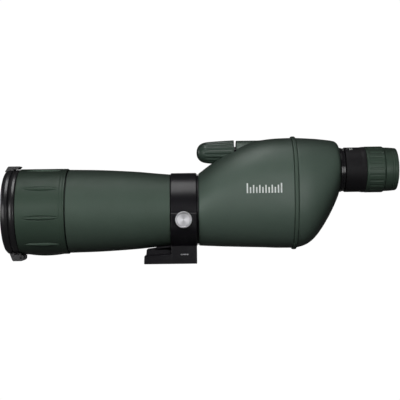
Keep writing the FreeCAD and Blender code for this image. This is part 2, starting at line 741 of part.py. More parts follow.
@piece
def focus_bushing():
    bore = R_SHAFT + 0.05
    sleeve = tube(X_BOSS0 - 0.1, 54.9, R_BUSHING, bore, Z_FOCUS)
    flange = tube(46.35, X_BOSS0 - 0.05, 4.8, bore, Z_FOCUS)
    return sleeve.fuse(flange).removeSplitter()


@piece
def focus_o_ring():
    return tube(50.45, 51.55, R_SHAFT + 0.02, 2.02, Z_FOCUS)


@piece
def focus_shaft_clip():
    # open at the bottom
    gap = box(55.0, 56.2, -1.6, 1.6, Z_FOCUS - 6, Z_FOCUS - 0.5)
    return tube(55.2, 56.0, 4.2, 1.95, Z_FOCUS).cut(gap)


# ---------------------------------------------------------------------------
# zoom eyepiece
# ---------------------------------------------------------------------------
X_BASE0, X_BASE1 = 140.45, 145.3    # visible band of the base
R_BASE = 19.8
X_ZOOM0, X_ZOOM1 = 145.6, 163.8     # bare part of the zoom ring
R_ZOOM = 20.25
X_GRIP1 = 180.6                     # rear end of the zoom grip
R_GRIP = 20.85
R_GRIP_SEAT = 18.7
X_CUP0, X_CUP1 = 181.2, 192.5
R_CUP_SLEEVE = 17.6
R_TUBE_I, R_TUBE_O = 15.2, 16.4
R_CAM_I, R_CAM_O = 16.45, 17.6
ZOOM_DEG = 150.0
VARIATOR_X, VARIATOR_TRAVEL = 150.5, 7.0            # front zoom group
COMPENSATOR_X, COMPENSATOR_TRAVEL = 170.5, -5.0     # rear zoom group
R_ZOOM_LENS = 12.2
R_GUIDE_PIN = 1.0
R_EYE_LENS = 13.0
X_RING_SCREW = 176.0
RING_SCREW_ANGLES = [math.radians(60 + 120 * k) for k in range(3)]
RING_SCREWS = [Vector(0, math.sin(a), math.cos(a)) for a in RING_SCREW_ANGLES]


def radial_rod(x, start, length, radius, outward):
    """Rod square to the eyepiece axis, beginning at a distance from it."""
    base = Vector(x, start * outward.y, Z_EYE + start * outward.z)
    return Part.makeCylinder(radius, length, base, outward)


@piece
def eyepiece_base():
    inner, recess = 14.0, R_TUBE_O + 0.02
    return turned([
        (134.0, inner), (134.0, R_EYE_SOCKET), (X_BASE0, R_EYE_SOCKET),
        (X_BASE0, R_BASE - 0.3), (X_BASE0 + 0.5, R_BASE + 0.1), (X_BASE1 - 0.4, R_BASE),
        (X_BASE1, R_BASE - 0.5), (X_BASE1, recess), (143.0, recess), (143.0, inner)], Z_EYE)


def straight_slot(x0, x1, side):
    """Round-ended slot along X through the tube's top (side 1) or bottom (side -1)."""
    half = R_GUIDE_PIN + 0.06
    z0, z1 = sorted((Z_EYE + side * 14, Z_EYE + side * 18))
    slot = box(x0, x1, -half, half, z0, z1)
    return slot.fuse(rod_z(z0, z1, half, x0)).fuse(rod_z(z0, z1, half, x1))


@piece
def eyepiece_tube():
    body = tube(143.02, 189.6, R_TUBE_O, R_TUBE_I, Z_EYE)
    body = body.cut(straight_slot(VARIATOR_X, VARIATOR_X + VARIATOR_TRAVEL, 1))
    body = body.cut(straight_slot(COMPENSATOR_X + COMPENSATOR_TRAVEL, COMPENSATOR_X, -1))
    # groove for the O-ring
    return body.cut(tube(186.9, 188.1, 17.0, 15.9, Z_EYE))


@piece
def eyecup_o_ring():
    return tube(186.92, 188.08, R_TUBE_O + 0.03, 15.92, Z_EYE)


@piece
def field_stop():
    return tube(143.1, 144.3, R_TUBE_I - 0.02, 9.0, Z_EYE)


def cam_slot(x0, travel, start_deg):
    """Helical slot tool; its angle runs from +Z towards +Y, starting at start_deg."""
    steps = 30
    half = R_GUIDE_PIN + 0.08
    track_radius = R_CAM_I + 0.6
    sweep, overrun = math.radians(ZOOM_DEG), math.radians(4.0)
    slope = travel / sweep
    # step from the track's middle to its edge, square to the track
    length = math.hypot(track_radius, slope)
    step_x = half * track_radius / length
    step_angle = -half * slope / length / track_radius
    curves = []
    for radius in (R_CAM_I - 0.8, R_CAM_O + 0.8):
        for side in (-1, 1):
            points = []
            for i in range(steps + 1):
                turn = -overrun + (sweep + 2 * overrun) * i / steps
                angle = math.radians(start_deg) + turn + side * step_angle
                points.append(Vector(x0 + slope * turn + side * step_x,
                                     radius * math.sin(angle),
                                     Z_EYE + radius * math.cos(angle)))
            curve = Part.BSplineCurve()
            curve.interpolate(points)
            curves.append(curve.toShape())
    inner0, inner1, outer0, outer1 = curves
    pairs = [(inner0, inner1), (outer0, outer1), (inner0, outer0), (inner1, outer1)]
    for end in (0, -1):
        a, b, c, d = [curve.Vertexes[end].Point for curve in curves]
        pairs.append((Part.makeLine(a, b), Part.makeLine(c, d)))
    shell = Part.makeShell([Part.makeRuledSurface(*pair) for pair in pairs])
    shell.sewShape()
    solid = Part.makeSolid(shell)
    # the sewn shell may come out inside out
    if solid.Volume < 0:
        solid.reverse()
    return solid


@piece
def zoom_cam_sleeve():
    sleeve = tube(146.0, 180.2, R_CAM_O, R_CAM_I, Z_EYE)
    sleeve = sleeve.cut(cam_slot(VARIATOR_X, VARIATOR_TRAVEL, 0.0))
    return sleeve.cut(cam_slot(COMPENSATOR_X, COMPENSATOR_TRAVEL, 180.0))


@piece
def zoom_ring():
    bore, x1 = R_CAM_O + 0.02, X_GRIP1 - 0.2
    ring = turned([
        (X_ZOOM0, bore), (X_ZOOM0, R_ZOOM - 0.5), (X_ZOOM0 + 0.5, R_ZOOM),
        (X_ZOOM1 - 3.0, R_ZOOM), (X_ZOOM1 - 0.3, R_ZOOM + 0.3), (X_ZOOM1, R_ZOOM + 0.1),
        (X_ZOOM1, R_GRIP_SEAT), (x1, R_GRIP_SEAT), (x1, bore)], Z_EYE)
    for outward in RING_SCREWS:
        ring = ring.cut(radial_rod(X_RING_SCREW, 16.0, 6, 0.82, outward))
    return ring


@piece
def zoom_ring_screws():
    return fuse_all([radial_rod(X_RING_SCREW, 17.72, 0.9, 0.8, way) for way in RING_SCREWS])


@piece
def zoom_grip():
    x0, bore = X_ZOOM1 + 0.05, R_GRIP_SEAT + 0.02
    groove_count = 24
    grip = turned([
        (x0, bore), (x0, R_GRIP - 0.3), (X_ZOOM1 + 0.4, R_GRIP), (X_GRIP1 - 1.2, R_GRIP),
        (X_GRIP1, R_GRIP - 1.0), (X_GRIP1, bore)], Z_EYE)
    grooves = []
    for k in range(groove_count):
        groove = box(166.4, 179.0, -0.7, 0.7, Z_EYE + R_GRIP - 0.35, Z_EYE + R_GRIP + 2)
        groove.rotate(Vector(0, 0, Z_EYE), Vector(1, 0, 0), 360.0 / groove_count * k)
        grooves.append(groove)
    return cut_together(grip, grooves)


def zoom_cell(x, outward):
    """Cell of a zoom group, with a hole for its pin and a seat for its lens."""
    cell = tube(x - 2.6, x + 2.6, R_TUBE_I - 0.05, 11.6, Z_EYE)
    cell = cell.cut(radial_rod(x, 12.8, 4, R_GUIDE_PIN + 0.02, outward))
    return cell.cut(tube(x - 1.5, x + 1.5, R_ZOOM_LENS + 0.02, 11.0, Z_EYE))


def zoom_pin(x, outward):
    return radial_rod(x, 12.85, 4.6, R_GUIDE_PIN, outward)


@piece
def variator_cell():
    return zoom_cell(VARIATOR_X, UP)


@piece
def variator_lens():
    return lens(VARIATOR_X - 1.3, VARIATOR_X + 1.3, R_ZOOM_LENS, -0.9, -0.2, Z_EYE)


@piece
def variator_pin():
    return zoom_pin(VARIATOR_X, UP)


@piece
def compensator_cell():
    return zoom_cell(COMPENSATOR_X, DOWN)


@piece
def compensator_lens():
    return lens(COMPENSATOR_X - 0.9, COMPENSATOR_X + 0.9, R_ZOOM_LENS, 0.8, 0.8, Z_EYE)


@piece
def compensator_pin():
    return zoom_pin(COMPENSATOR_X, DOWN)


@piece
def eye_lens_cell():
    outer, seat = R_TUBE_I - 0.02, R_EYE_LENS + 0.02
    return turned([
        (181.0, outer), (189.6, outer), (189.6, seat), (183.4, seat), (183.4, 11.6),
        (181.0, 11.6)], Z_EYE)


@piece
def eye_lens():
    return lens(184.2, 187.0, R_EYE_LENS, 0.9, 1.2, Z_EYE, extra=1.0)


@piece
def eye_lens_retainer():
    return tube(187.6, 189.4, R_EYE_LENS, 11.6, Z_EYE, chamfer=0.2)


@piece
def eyecup_sleeve():
    bore = R_TUBE_O + 0.05
    return turned([
        (X_CUP0, bore), (X_CUP0, R_CUP_SLEEVE), (190.9, R_CUP_SLEEVE), (190.9, 14.6),
        (190.1, 14.6), (190.1, bore)], Z_EYE)


@piece
def eyecup_rubber():
    bore = R_CUP_SLEEVE + 0.02
    return turned([
        (X_CUP0, bore), (X_CUP0, 19.6), (X_CUP0 + 0.4, 19.9), (184.4, 19.75),
        (187.3, 19.55), (187.6, 19.25), (187.9, 19.5), (189.2, 19.4), (189.5, 19.1),
        (189.8, 19.3), (190.9, 19.2), (191.8, 19.0), (192.3, 18.6), (X_CUP1, 17.8),
        (X_CUP1, 13.2), (X_CUP1 - 0.2, 12.5), (X_CUP1 - 0.7, 12.3), (191.2, 13.0),
        (190.95, 14.6), (190.95, bore)], Z_EYE)


for make in PIECES:
    shape = make()
    if shape.ShapeType == "Compound" and len(shape.Solids) == 1:
        shape = shape.Solids[0]
    if not shape.isValid():
        shape.fix(1e-5, 1e-6, 1e-4)
    shape.exportStep("parts/" + make.__name__ + ".step")
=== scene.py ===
"""Spotting scope with a hinged objective cover, a ribbed sunshade, a tripod collar and a zoom
eyepiece.

X runs along the scope from the objective cover (-X, the front) to the eyepiece (+X, the back),
Z is up and the collar's foot stands on z = 0. The lock knob is on the -Y side, where the camera is.
Lengths are millimetres in the CAD frame unless noted; add_mesh turns them into metres.
"""
import bpy
import bmesh
import json
import math
import numpy as np
from mathutils import Vector, Matrix


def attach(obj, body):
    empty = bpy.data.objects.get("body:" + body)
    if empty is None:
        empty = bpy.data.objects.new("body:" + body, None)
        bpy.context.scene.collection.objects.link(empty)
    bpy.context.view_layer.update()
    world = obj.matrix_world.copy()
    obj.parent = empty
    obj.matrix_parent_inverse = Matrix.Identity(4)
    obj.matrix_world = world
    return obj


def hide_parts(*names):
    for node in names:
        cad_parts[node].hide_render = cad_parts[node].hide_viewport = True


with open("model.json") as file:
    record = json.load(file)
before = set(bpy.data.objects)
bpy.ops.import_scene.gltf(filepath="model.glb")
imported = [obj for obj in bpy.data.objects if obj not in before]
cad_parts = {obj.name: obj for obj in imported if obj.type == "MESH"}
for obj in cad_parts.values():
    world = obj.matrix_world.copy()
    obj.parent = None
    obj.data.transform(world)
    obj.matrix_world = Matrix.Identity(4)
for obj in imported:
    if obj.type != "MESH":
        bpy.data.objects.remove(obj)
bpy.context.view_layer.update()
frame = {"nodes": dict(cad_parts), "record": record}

scene = bpy.context.scene
PI = math.pi
MM = 0.001

# ---------------------------------------------------------------------------
# dimensions. X0 is the end nearer the objective, X1 the end nearer the eye
# ---------------------------------------------------------------------------
AXIS_Z = 48.2                                   # objective axis
EYE_RISE, FOCUS_RISE = 34.5, 51.6               # the other two axes above it
EYE_Z = AXIS_Z + EYE_RISE
FOCUS_Z = AXIS_Z + FOCUS_RISE

LID_X0, LID_X1 = -160.3, -153.4
RING_X1, RING_RADIUS = -147.5, 38.0
PIN_X, PIN_Z = -147.5, AXIS_Z - 41.4            # hinge pin of the cover

SHADE_X0, SHADE_X1 = -147.3, -104.0
SHADE_RADIUS, SHADE_BORE = 38.7, 37.2
LEAF_X, LEAF_HALF_LENGTH = -125.2, 19.2         # middle and half length of the leaf ribs
LEAF_RADIUS, LEAF_SUNK = 1.95, 0.65             # round section, centred below the surface
LEAF_ANGLES = [(-math.radians(58.0 + 40.0 * k)) % (2 * PI) for k in range(9)]

# barrel armour stations: x, radius
ARMOUR = [
    (-103.6, 37.75), (-99.2, 37.65), (-90.1, 37.45), (-81.0, 37.25), (-71.9, 36.9),
    (-62.8, 36.45), (-53.7, 35.9), (-44.6, 35.3), (-40.0, 34.95), (-30.9, 34.05),
    (-21.8, 33.15), (-12.2, 32.3)]

COLLAR_HALF, COLLAR_RADIUS = 11.8, 33.4
LOCK_Z, LOCK_RADIUS = AXIS_Z - 8.1, 7.3
LOCK_FACE_Y, LOCK_POCKET_Y = -45.35, -43.0      # outer face, and end of the bore behind it
LOCK_BORE = 2.03
FOOT_HALF_WIDTH, FOOT_TOE_X, FOOT_HEEL_X = 15.0, -36.2, 11.4
FOOT_TOP_Z = AXIS_Z - 31.6
SCREW_RADIUS, SCREW_DEPTH = 4.73, 9.6           # round pocket under the foot

# housing sections: x, lowest and highest z over the objective axis, half width,
# superellipse exponent
HOUSING = [
    (12.5, -32.55, 31.9, 32.5, 2.0), (17.0, -32.9, 35.3, 33.4, 2.03),
    (21.0, -33.1, 38.3, 34.1, 2.06), (27.3, -33.4, 43.2, 34.9, 2.1),
    (35.0, -33.8, 48.2, 35.5, 2.15), (46.4, -34.2, 54.6, 36.1, 2.2),
    (58.0, -34.6, 59.0, 36.5, 2.25), (71.0, -35.0, 62.3, 36.8, 2.3),
    (85.0, -35.6, 63.7, 36.9, 2.3), (98.7, -35.7, 64.0, 36.9, 2.3),
    (105.6, -34.5, 63.75, 36.4, 2.3), (110.1, -32.8, 63.5, 35.8, 2.3),
    (114.7, -29.8, 63.2, 34.9, 2.28), (119.2, -25.4, 62.9, 33.7, 2.25),
    (123.8, -19.3, 62.4, 32.3, 2.22), (128.3, -12.2, 61.9, 30.6, 2.18),
    (132.9, -4.0, 61.3, 28.6, 2.12), (136.5, 3.5, 60.5, 26.5, 2.06),
    (138.4, 7.9, 59.2, 25.0, 2.03), (139.7, 11.4, 57.4, 23.2, 2.0),
    (140.4, 13.9, 55.1, 21.0, 2.0)]
HOUSING_X0, HOUSING_BORE = 13.2, 31.2
HOUSING_WALL = 2.6
SEAM_X0, SEAM_X1 = 97.3, 100.9
REAR_LAST_X, REAR_FACE_X = 140.38, 140.42       # last full section, and the flat face behind it

FOCUS_X0, FOCUS_X1, FOCUS_RADIUS = 12.0, 46.0, 11.0
FOCUS_BORE = 7.02
FLUTES = 16
FOCUS_BOSS_X0, FOCUS_BOSS_RADIUS = 47.8, 10.6   # housing boss behind the focus knob
CHANNEL_RADIUS = 11.8                           # housing channel under the focus knob

EYE_BASE_X0, EYE_BASE_X1 = 140.45, 145.3
EYE_BASE_WAIST = 19.5
ZOOM_X0, ZOOM_X1, ZOOM_RADIUS = 145.6, 163.8, 20.25
ZOOM_GRIP_X1, ZOOM_GRIP_RADIUS = 180.6, 20.85
EYECUP_X0, EYECUP_X1 = 181.2, 192.5
ZOOM_NUMBERS = ("20", "30", "40", "50", "60")
INDEX_DEGREES, NUMBER_PITCH = -25.0, 37.5       # angles round the zoom ring, from +Z to +Y


# ---------------------------------------------------------------------------
# small maths
# ---------------------------------------------------------------------------
def span_index(knots, x):
    """Index of the span between two knots that each x falls in."""
    return np.clip(np.searchsorted(knots, x, side="right") - 1, 0, len(knots) - 2)


def monotone_cubic(knots, values, x):
    """Cubic through the table that does not overshoot it."""
    knots, values, x = (np.asarray(a, float) for a in (knots, values, x))
    steps = np.diff(knots)
    slopes = np.diff(values) / steps
    tangents = np.zeros(len(knots))
    for i in range(1, len(knots) - 1):
        if slopes[i - 1] * slopes[i] > 0:
            before, after = 2 * steps[i] + steps[i - 1], steps[i] + 2 * steps[i - 1]
            tangents[i] = (before + after) / (before / slopes[i - 1] + after / slopes[i])
    tangents[0], tangents[-1] = slopes[0], slopes[-1]
    k = span_index(knots, x)
    part = (x - knots[k]) / steps[k]
    return ((2 * part ** 3 - 3 * part ** 2 + 1) * values[k]
            + (part ** 3 - 2 * part ** 2 + part) * steps[k] * tangents[k]
            + (-2 * part ** 3 + 3 * part ** 2) * values[k + 1]
            + (part ** 3 - part ** 2) * steps[k] * tangents[k + 1])


def natural_cubic(knots, values, x):
    """Natural cubic spline through the table."""
    knots, values, x = (np.asarray(a, float) for a in (knots, values, x))
    count = len(knots)
    steps = np.diff(knots)
    matrix = np.eye(count)
    right = np.zeros(count)
    for i in range(1, count - 1):
        matrix[i, i - 1] = steps[i - 1]
        matrix[i, i] = 2 * (steps[i - 1] + steps[i])
        matrix[i, i + 1] = steps[i]
        right[i] = 6 * ((values[i + 1] - values[i]) / steps[i]
                        - (values[i] - values[i - 1]) / steps[i - 1])
    bend = np.linalg.solve(matrix, right)
    k = span_index(knots, x)
    past = x - knots[k]
    slope = ((values[k + 1] - values[k]) / steps[k]
             - steps[k] * (2 * bend[k] + bend[k + 1]) / 6)
    return (values[k] + past * slope
            + past ** 2 * bend[k] / 2 + past ** 3 * (bend[k + 1] - bend[k]) / (6 * steps[k]))


def soft_min(first, second, blend):
    share = np.clip(0.5 + 0.5 * (second - first) / blend, 0, 1)
    return second * (1 - share) + first * share - blend * share * (1 - share)


def soft_max(first, second, blend):
    return -soft_min(-first, -second, blend)


def smooth_step(start, end, x):
    part = np.clip((x - start) / (end - start), 0, 1)
    return part * part * (3 - 2 * part)


def wrap_angle(angle):
    """The same angle between -PI and PI."""
    return (angle + PI) % (2 * PI) - PI


def sorted_turn(angles):
    """Angles brought into one turn, in rising order."""
    return np.array(sorted(angle % (2 * PI) for angle in angles))


def rounded(corners, closed=True):
    """Turns (u, v, fillet) corners into points, with an arc wherever there is a fillet."""
    points = []
    count = len(corners)
    for i, corner in enumerate(corners):
        fillet = corner[2] if len(corner) > 2 else 0.0
        if fillet <= 0 or (not closed and i in (0, count - 1)):
            points.append((corner[0], corner[1]))
            continue
        here = np.array(corner[:2], float)
        back = np.array(corners[i - 1][:2], float) - here
        ahead = np.array(corners[(i + 1) % count][:2], float) - here
        back_length, ahead_length = np.linalg.norm(back), np.linalg.norm(ahead)
        back, ahead = back / back_length, ahead / ahead_length
        opening = math.acos(max(-1, min(1, float(back @ ahead))))
        if opening > PI - 0.02:         # nearly straight
            points.append((corner[0], corner[1]))
            continue
        fillet = min(fillet, 0.48 * min(back_length, ahead_length) * math.tan(opening / 2))
        reach = fillet / math.tan(opening / 2)
        arc_start, arc_end = here + back * reach, here + ahead * reach
        inward = (back + ahead) / np.linalg.norm(back + ahead)
        centre = here + inward * (fillet / math.sin(opening / 2))
        start = math.atan2(*(arc_start - centre)[::-1])
        end = math.atan2(*(arc_end - centre)[::-1])
        sweep = wrap_angle(end - start)
        steps = max(3, int(math.ceil(abs(sweep) / math.radians(15))))
        for j in range(steps + 1):
            angle = start + sweep * j / steps
            points.append((centre[0] + fillet * math.cos(angle),
                           centre[1] + fillet * math.sin(angle)))
    return points


def from_axis(outline):
    """Moves an (x, z, fillet) outline measured from the objective axis to its place."""
    return [(x, AXIS_Z + z, *fillet) for x, z, *fillet in outline]


# ---------------------------------------------------------------------------
# mesh makers
# ---------------------------------------------------------------------------
def add_mesh(name, verts, faces, material, body, sharp=35.0, weighted=True):
    """Smooth-shaded object; edges over `sharp` degrees stay sharp."""
    mesh = bpy.data.meshes.new(name)
    mesh.from_pydata((np.asarray(verts, float) * MM).tolist(), [],
                     [list(map(int, face)) for face in faces])
    bm = bmesh.new()
    bm.from_mesh(mesh)
    bmesh.ops.remove_doubles(bm, verts=bm.verts, dist=1e-7)
    bmesh.ops.recalc_face_normals(bm, faces=bm.faces)
    bm.to_mesh(mesh)
    bm.free()
    mesh.polygons.foreach_set("use_smooth", [True] * len(mesh.polygons))
    mesh.set_sharp_from_angle(angle=math.radians(sharp))
    mesh.update()
    obj = bpy.data.objects.new(name, mesh)
    scene.collection.objects.link(obj)
    mesh.materials.append(material)
    if weighted:
        normals = obj.modifiers.new("normals", "WEIGHTED_NORMAL")
        normals.keep_sharp = True
        normals.weight = 60
    if body:
        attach(obj, body)
    return obj


def declare(obj, replaces=None):
    if replaces:
        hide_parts(replaces)


def ring_faces(rings, around, closed=True):
    """Quads between rings of vertices; closed also joins the last ring to the first."""
    faces = []
    for j in range(rings if closed else rings - 1):
        next_j = (j + 1) % rings
        for i in range(around):
            next_i = (i + 1) % around
            faces.append((j * around + i, j * around + next_i,
                          next_j * around + next_i, next_j * around + i))
    return faces


def capped_faces(rings, around):
    """Open rings with fans to two centre vertices that follow the rings in the list."""
    faces = ring_faces(rings, around, closed=False)
    first_centre = rings * around
    last_ring = first_centre - around
    for i in range(around):
        next_i = (i + 1) % around
        faces.append((first_centre, next_i, i))
        faces.append((first_centre + 1, last_ring + i, last_ring + next_i))
    return faces


def lathe(name, profile, z, material, body, replaces=None, segments=160, angles=None,
          reshape=None, sharp=35.0):
    """Turned piece about a line parallel to X at height z.

    profile is a closed loop of (x, radius, fillet); one that starts and ends at radius 0 is
    capped there. reshape(x, radius, angles) may change the radius round the ring.
    """
    points = rounded(profile)
    if angles is None:
        angles = np.linspace(0, 2 * PI, segments, endpoint=False)
    around = len(angles)
    on_axis = points[0][1] < 1e-6 and points[-1][1] < 1e-6
    rings = [p for p in points if p[1] > 1e-6]
    verts = []
    for x, radius in rings:
        radii = reshape(x, radius, angles) if reshape else np.full(around, radius)
        verts.append(np.stack([np.full(around, x), radii * np.sin(angles),
                               z + radii * np.cos(angles)], 1))
    verts = np.concatenate(verts)
    if on_axis:
        verts = np.vstack([verts, [points[0][0], 0.0, z], [points[-1][0], 0.0, z]])
        faces = capped_faces(len(rings), around)
    else:
        faces = ring_faces(len(rings), around)
    declare(add_mesh(name, verts, faces, material, body, sharp), replaces)


def add_bevelled(name, verts, faces, material, body, slot=None, bevel=0.5, segments=3):
    obj = add_mesh(name, verts, faces, material, None, weighted=False)
    rounding = obj.modifiers.new("bevel", "BEVEL")
    rounding.width = bevel * MM
    rounding.segments = segments
    rounding.limit_method = "ANGLE"
    rounding.angle_limit = math.radians(40)
    obj.modifiers.new("normals", "WEIGHTED_NORMAL").keep_sharp = True
    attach(obj, body)


def prism_faces(count):
    """Two end outlines of `count` points each, and the walls between them."""
    walls = [(i, i + count, (i + 1) % count + count, (i + 1) % count) for i in range(count)]
    return [tuple(range(count)), tuple(reversed(range(count, 2 * count)))] + walls


def slab(name, outline, y0, y1, material, body, **bevelling):
    """Filleted (x, z, fillet) outline pulled along Y from y0 to y1."""
    points = rounded(outline)
    verts = [(x, y, z) for y in (y0, y1) for x, z in points]
    add_bevelled(name, verts, prism_faces(len(points)), material, body, **bevelling)


def sheet_faces(columns, rows):
    """Thin closed sheet of two layers, each a grid of columns by rows of quads."""
    def vert(layer, i, j):
        return (layer * (columns + 1) + i) * (rows + 1) + j

    faces = [(vert(layer, i, j), vert(layer, i + 1, j),
              vert(layer, i + 1, j + 1), vert(layer, i, j + 1))
             for layer in (0, 1) for i in range(columns) for j in range(rows)]
    for i in range(columns):
        for j in (0, rows):
            faces.append((vert(0, i, j), vert(0, i + 1, j), vert(1, i + 1, j), vert(1, i, j)))
    for j in range(rows):
        for i in (0, columns):
            faces.append((vert(0, i, j), vert(0, i, j + 1), vert(1, i, j + 1), vert(1, i, j)))
    return faces


# ---------------------------------------------------------------------------
# shader nodes
# ---------------------------------------------------------------------------
NOISE_SPREAD = (0.3, 0.7)       # where most noise values fall
WHOLE = (0.0, 1.0)


class Nodes:
    """Node tree of a material or world, emptied and built up node by node."""

    def __init__(self, owner):
        owner.use_nodes = True
        self.tree = owner.node_tree
        self.tree.nodes.clear()

    def set(self, node, values):
        """Links each input to a socket, or sets it to a plain value."""
        for key, value in values.items():
            if isinstance(value, bpy.types.NodeSocket):
                self.tree.links.new(value, node.inputs[key])
            else:
                node.inputs[key].default_value = value

    def add(self, kind, values=None, **settings):
        node = self.tree.nodes.new("ShaderNode" + kind)
        for key, value in settings.items():
            setattr(node, key, value)
        self.set(node, values or {})
        return node

    def math(self, operation, *values):
        return self.add("Math", dict(enumerate(values)), operation=operation).outputs[0]

    def vector(self, operation, *values):
        return self.add("VectorMath", dict(enumerate(values)), operation=operation).outputs

    def coords(self, scale=(1, 1, 1)):
        """Object coordinates in millimetres, stretched by scale."""
        place = self.add("TexCoord").outputs["Object"]
        return self.add("Mapping", {"Scale": [1000.0 * s for s in scale],
                                    "Vector": place}).outputs[0]

    def noise(self, place, scale, detail, rough):
        return self.add("TexNoise", {"Scale": scale, "Detail": detail, "Roughness": rough,
                                     "Vector": place}).outputs["Fac"]

    def grey_ramp(self, factor, stops):
        """Colour ramp of (position, grey) stops."""
        ramp = self.add("ValToRGB", {"Fac": factor})
        elements = ramp.color_ramp.elements
        while len(elements) < len(stops):
            elements.new(0.5)
        for element, (position, grey) in zip(elements, stops):
            element.position = position
            element.color = (grey, grey, grey, 1)
        return ramp.outputs["Color"]

    def remap(self, value, source=NOISE_SPREAD, target=WHOLE):
        return self.add("MapRange", {0: value, 1: source[0], 2: source[1],
                                     3: target[0], 4: target[1]}).outputs[0]

    def mix(self, factor, first, second):
        """Colour mix; sockets 6, 7 and output 2 are the node's colour sockets."""
        first, second = ((*c, 1) if isinstance(c, tuple) else c for c in (first, second))
        return self.add("Mix", {"Factor": factor, 6: first, 7: second},
                        data_type="RGBA").outputs[2]

    def bump(self, height, strength, depth, normal=None):
        values = {"Strength": strength, "Distance": depth * MM, "Height": height}
        if normal is not None:
            values["Normal"] = normal
        return self.add("Bump", values).outputs[0]

    def edge_wear(self, place, radius, scale, detail, rough, source, target):
        """Mask of rubbed edges: a rounded normal against the true one, broken by noise."""
        soft = self.add("Bevel", {"Radius": radius * MM}, samples=4).outputs[0]
        true = self.add("NewGeometry").outputs["Normal"]
        agreement = self.vector("DOT_PRODUCT", soft, true)["Value"]
        edges = self.remap(agreement, source=(0.995, 0.93))
        scratches = self.noise(place, scale=scale, detail=detail, rough=rough)
        return self.math("MULTIPLY", edges, self.remap(scratches, source=source, target=target))

    def paint_shade_by_view(self, colour, stops):
        """Paints shade into a colour: multiplies it by a factor that falls off at glancing view."""
        top = max(factor for _, factor in stops)
        facing = self.add("LayerWeight", {"Blend": 0.5}).outputs["Facing"]
        fall = self.grey_ramp(facing, [(place, factor / top) for place, factor in stops])
        scaled = self.add("VectorMath", {0: fall, "Scale": top}, operation="SCALE").outputs[0]
        return self.vector("MULTIPLY", colour, scaled)[0]

    def camera_split(self, output_kind, lighting, seen):
        """The camera sees one shader, every other ray the other."""
        output = self.add(output_kind)
        camera_ray = self.add("LightPath").outputs["Is Camera Ray"]
        split = self.add("MixShader", {0: camera_ray, 1: lighting, 2: seen})
        self.set(output, {0: split.outputs[0]})


def new_material(name):
    material = bpy.data.materials.new(name)
    nodes = Nodes(material)
    output = nodes.add("OutputMaterial")
    surface = nodes.add("BsdfPrincipled")
    nodes.set(output, {0: surface.outputs[0]})
    return material, nodes, surface


def shade(colour, factor):
    return tuple(min(1.0, factor * c) for c in colour)


# ---------------------------------------------------------------------------
# material kinds. Texture scales are per millimetre
# ---------------------------------------------------------------------------
# painted shade by view angle: glancing (0 facing the viewer, 1 edge on), brightness factor painted
# into the base colour, brighter face on and darker towards the outline
RUBBER_PAINTED_VIEW_SHADE = [(0.0, 1.25), (0.2, 1.02), (0.35, 0.86), (0.5, 0.68), (0.65, 0.58), (1.0, 0.48)]


def rubber(name, dark, light, rough, spec=0.22, grain=2.6, relief=0.35):
    """Matt rubber in two tones; grain is the scale of its grain, relief its strength."""
    material, nodes, surface = new_material(name)
    place = nodes.coords()
    patches = nodes.noise(place, scale=0.035, detail=4, rough=0.6)
    fine = nodes.noise(place, scale=grain, detail=2, rough=0.5)
    colour = nodes.mix(nodes.remap(patches), dark, light)
    specks = nodes.remap(fine, source=(0.35, 0.75), target=(0.0, 0.22))
    colour = nodes.mix(specks, colour, shade(light, 1.35))
    wear = nodes.edge_wear(place, radius=0.5, scale=0.35, detail=5, rough=0.7,
                           source=(0.35, 0.65), target=(0.05, 0.4))
    colour = nodes.mix(wear, colour, shade(light, 1.7))
    sheen_patches = nodes.noise(place, scale=0.12, detail=4, rough=0.6)
    cells = nodes.add("TexVoronoi", {"Scale": grain * 0.8, "Vector": place})
    pebbles = nodes.bump(cells.outputs["Distance"], strength=relief, depth=0.06)
    nodes.set(surface, {
        # base colour carries painted shade: brighter facing the viewer, darker towards the outline
        "Base Color": nodes.paint_shade_by_view(colour, RUBBER_PAINTED_VIEW_SHADE),
        "Roughness": nodes.remap(sheen_patches, target=(rough - 0.05, rough + 0.07)),
        "Specular IOR Level": spec,
        "Sheen Roughness": 0.6,
        "Normal": nodes.bump(fine, strength=relief * 0.8, depth=0.05, normal=pebbles)})
    return material


def paint(name, base, rough, spec=0.5, peel=0.7, peel_strength=0.12,
          wear_colour=(0.16, 0.16, 0.17)):
    """Paint or moulding with blotches, rubbed edges and a slight orange peel."""
    material, nodes, surface = new_material(name)
    place = nodes.coords()
    blotches = nodes.noise(place, scale=0.08, detail=4, rough=0.6)
    colour = nodes.mix(nodes.remap(blotches), shade(base, 0.85), shade(base, 1.15))
    wear = nodes.edge_wear(place, radius=0.35, scale=0.5, detail=6, rough=0.75,
                           source=(0.42, 0.62), target=(0.0, 0.55))
    gloss_patches = nodes.noise(place, scale=0.3, detail=5, rough=0.65)
    peel_noise = nodes.noise(place, scale=peel, detail=2, rough=0.5)
    nodes.set(surface, {
        "Base Color": nodes.mix(wear, colour, wear_colour),
        "Roughness": nodes.remap(gloss_patches, target=(rough - 0.02, rough + 0.025)),
        "Specular IOR Level": spec,
        "Coat Roughness": 0.2,
        "Normal": nodes.bump(peel_noise, strength=peel_strength, depth=0.05)})
    return material


def metal_roughness(nodes, place, rough):
    patches = nodes.noise(place, scale=1.1, detail=5, rough=0.7)
    return nodes.remap(patches, target=(rough * 0.85, rough * 1.2))


def brushed_metal(name, base, rough, stretch, aniso=0.0):
    """Metal with brush marks; stretch is the mark frequency along x, y and z."""
    material, nodes, surface = new_material(name)
    place = nodes.coords()
    patches = nodes.noise(place, scale=0.4, detail=4, rough=0.6)
    marks = nodes.noise(nodes.coords(stretch), scale=1.0, detail=3, rough=0.6)
    nodes.set(surface, {
        "Metallic": 1.0,
        "Base Color": nodes.mix(nodes.remap(patches), shade(base, 0.92), base),
        "Roughness": metal_roughness(nodes, place, rough),
        "Normal": nodes.bump(marks, strength=0.3, depth=0.02),
        "Anisotropic": aniso})
    return material


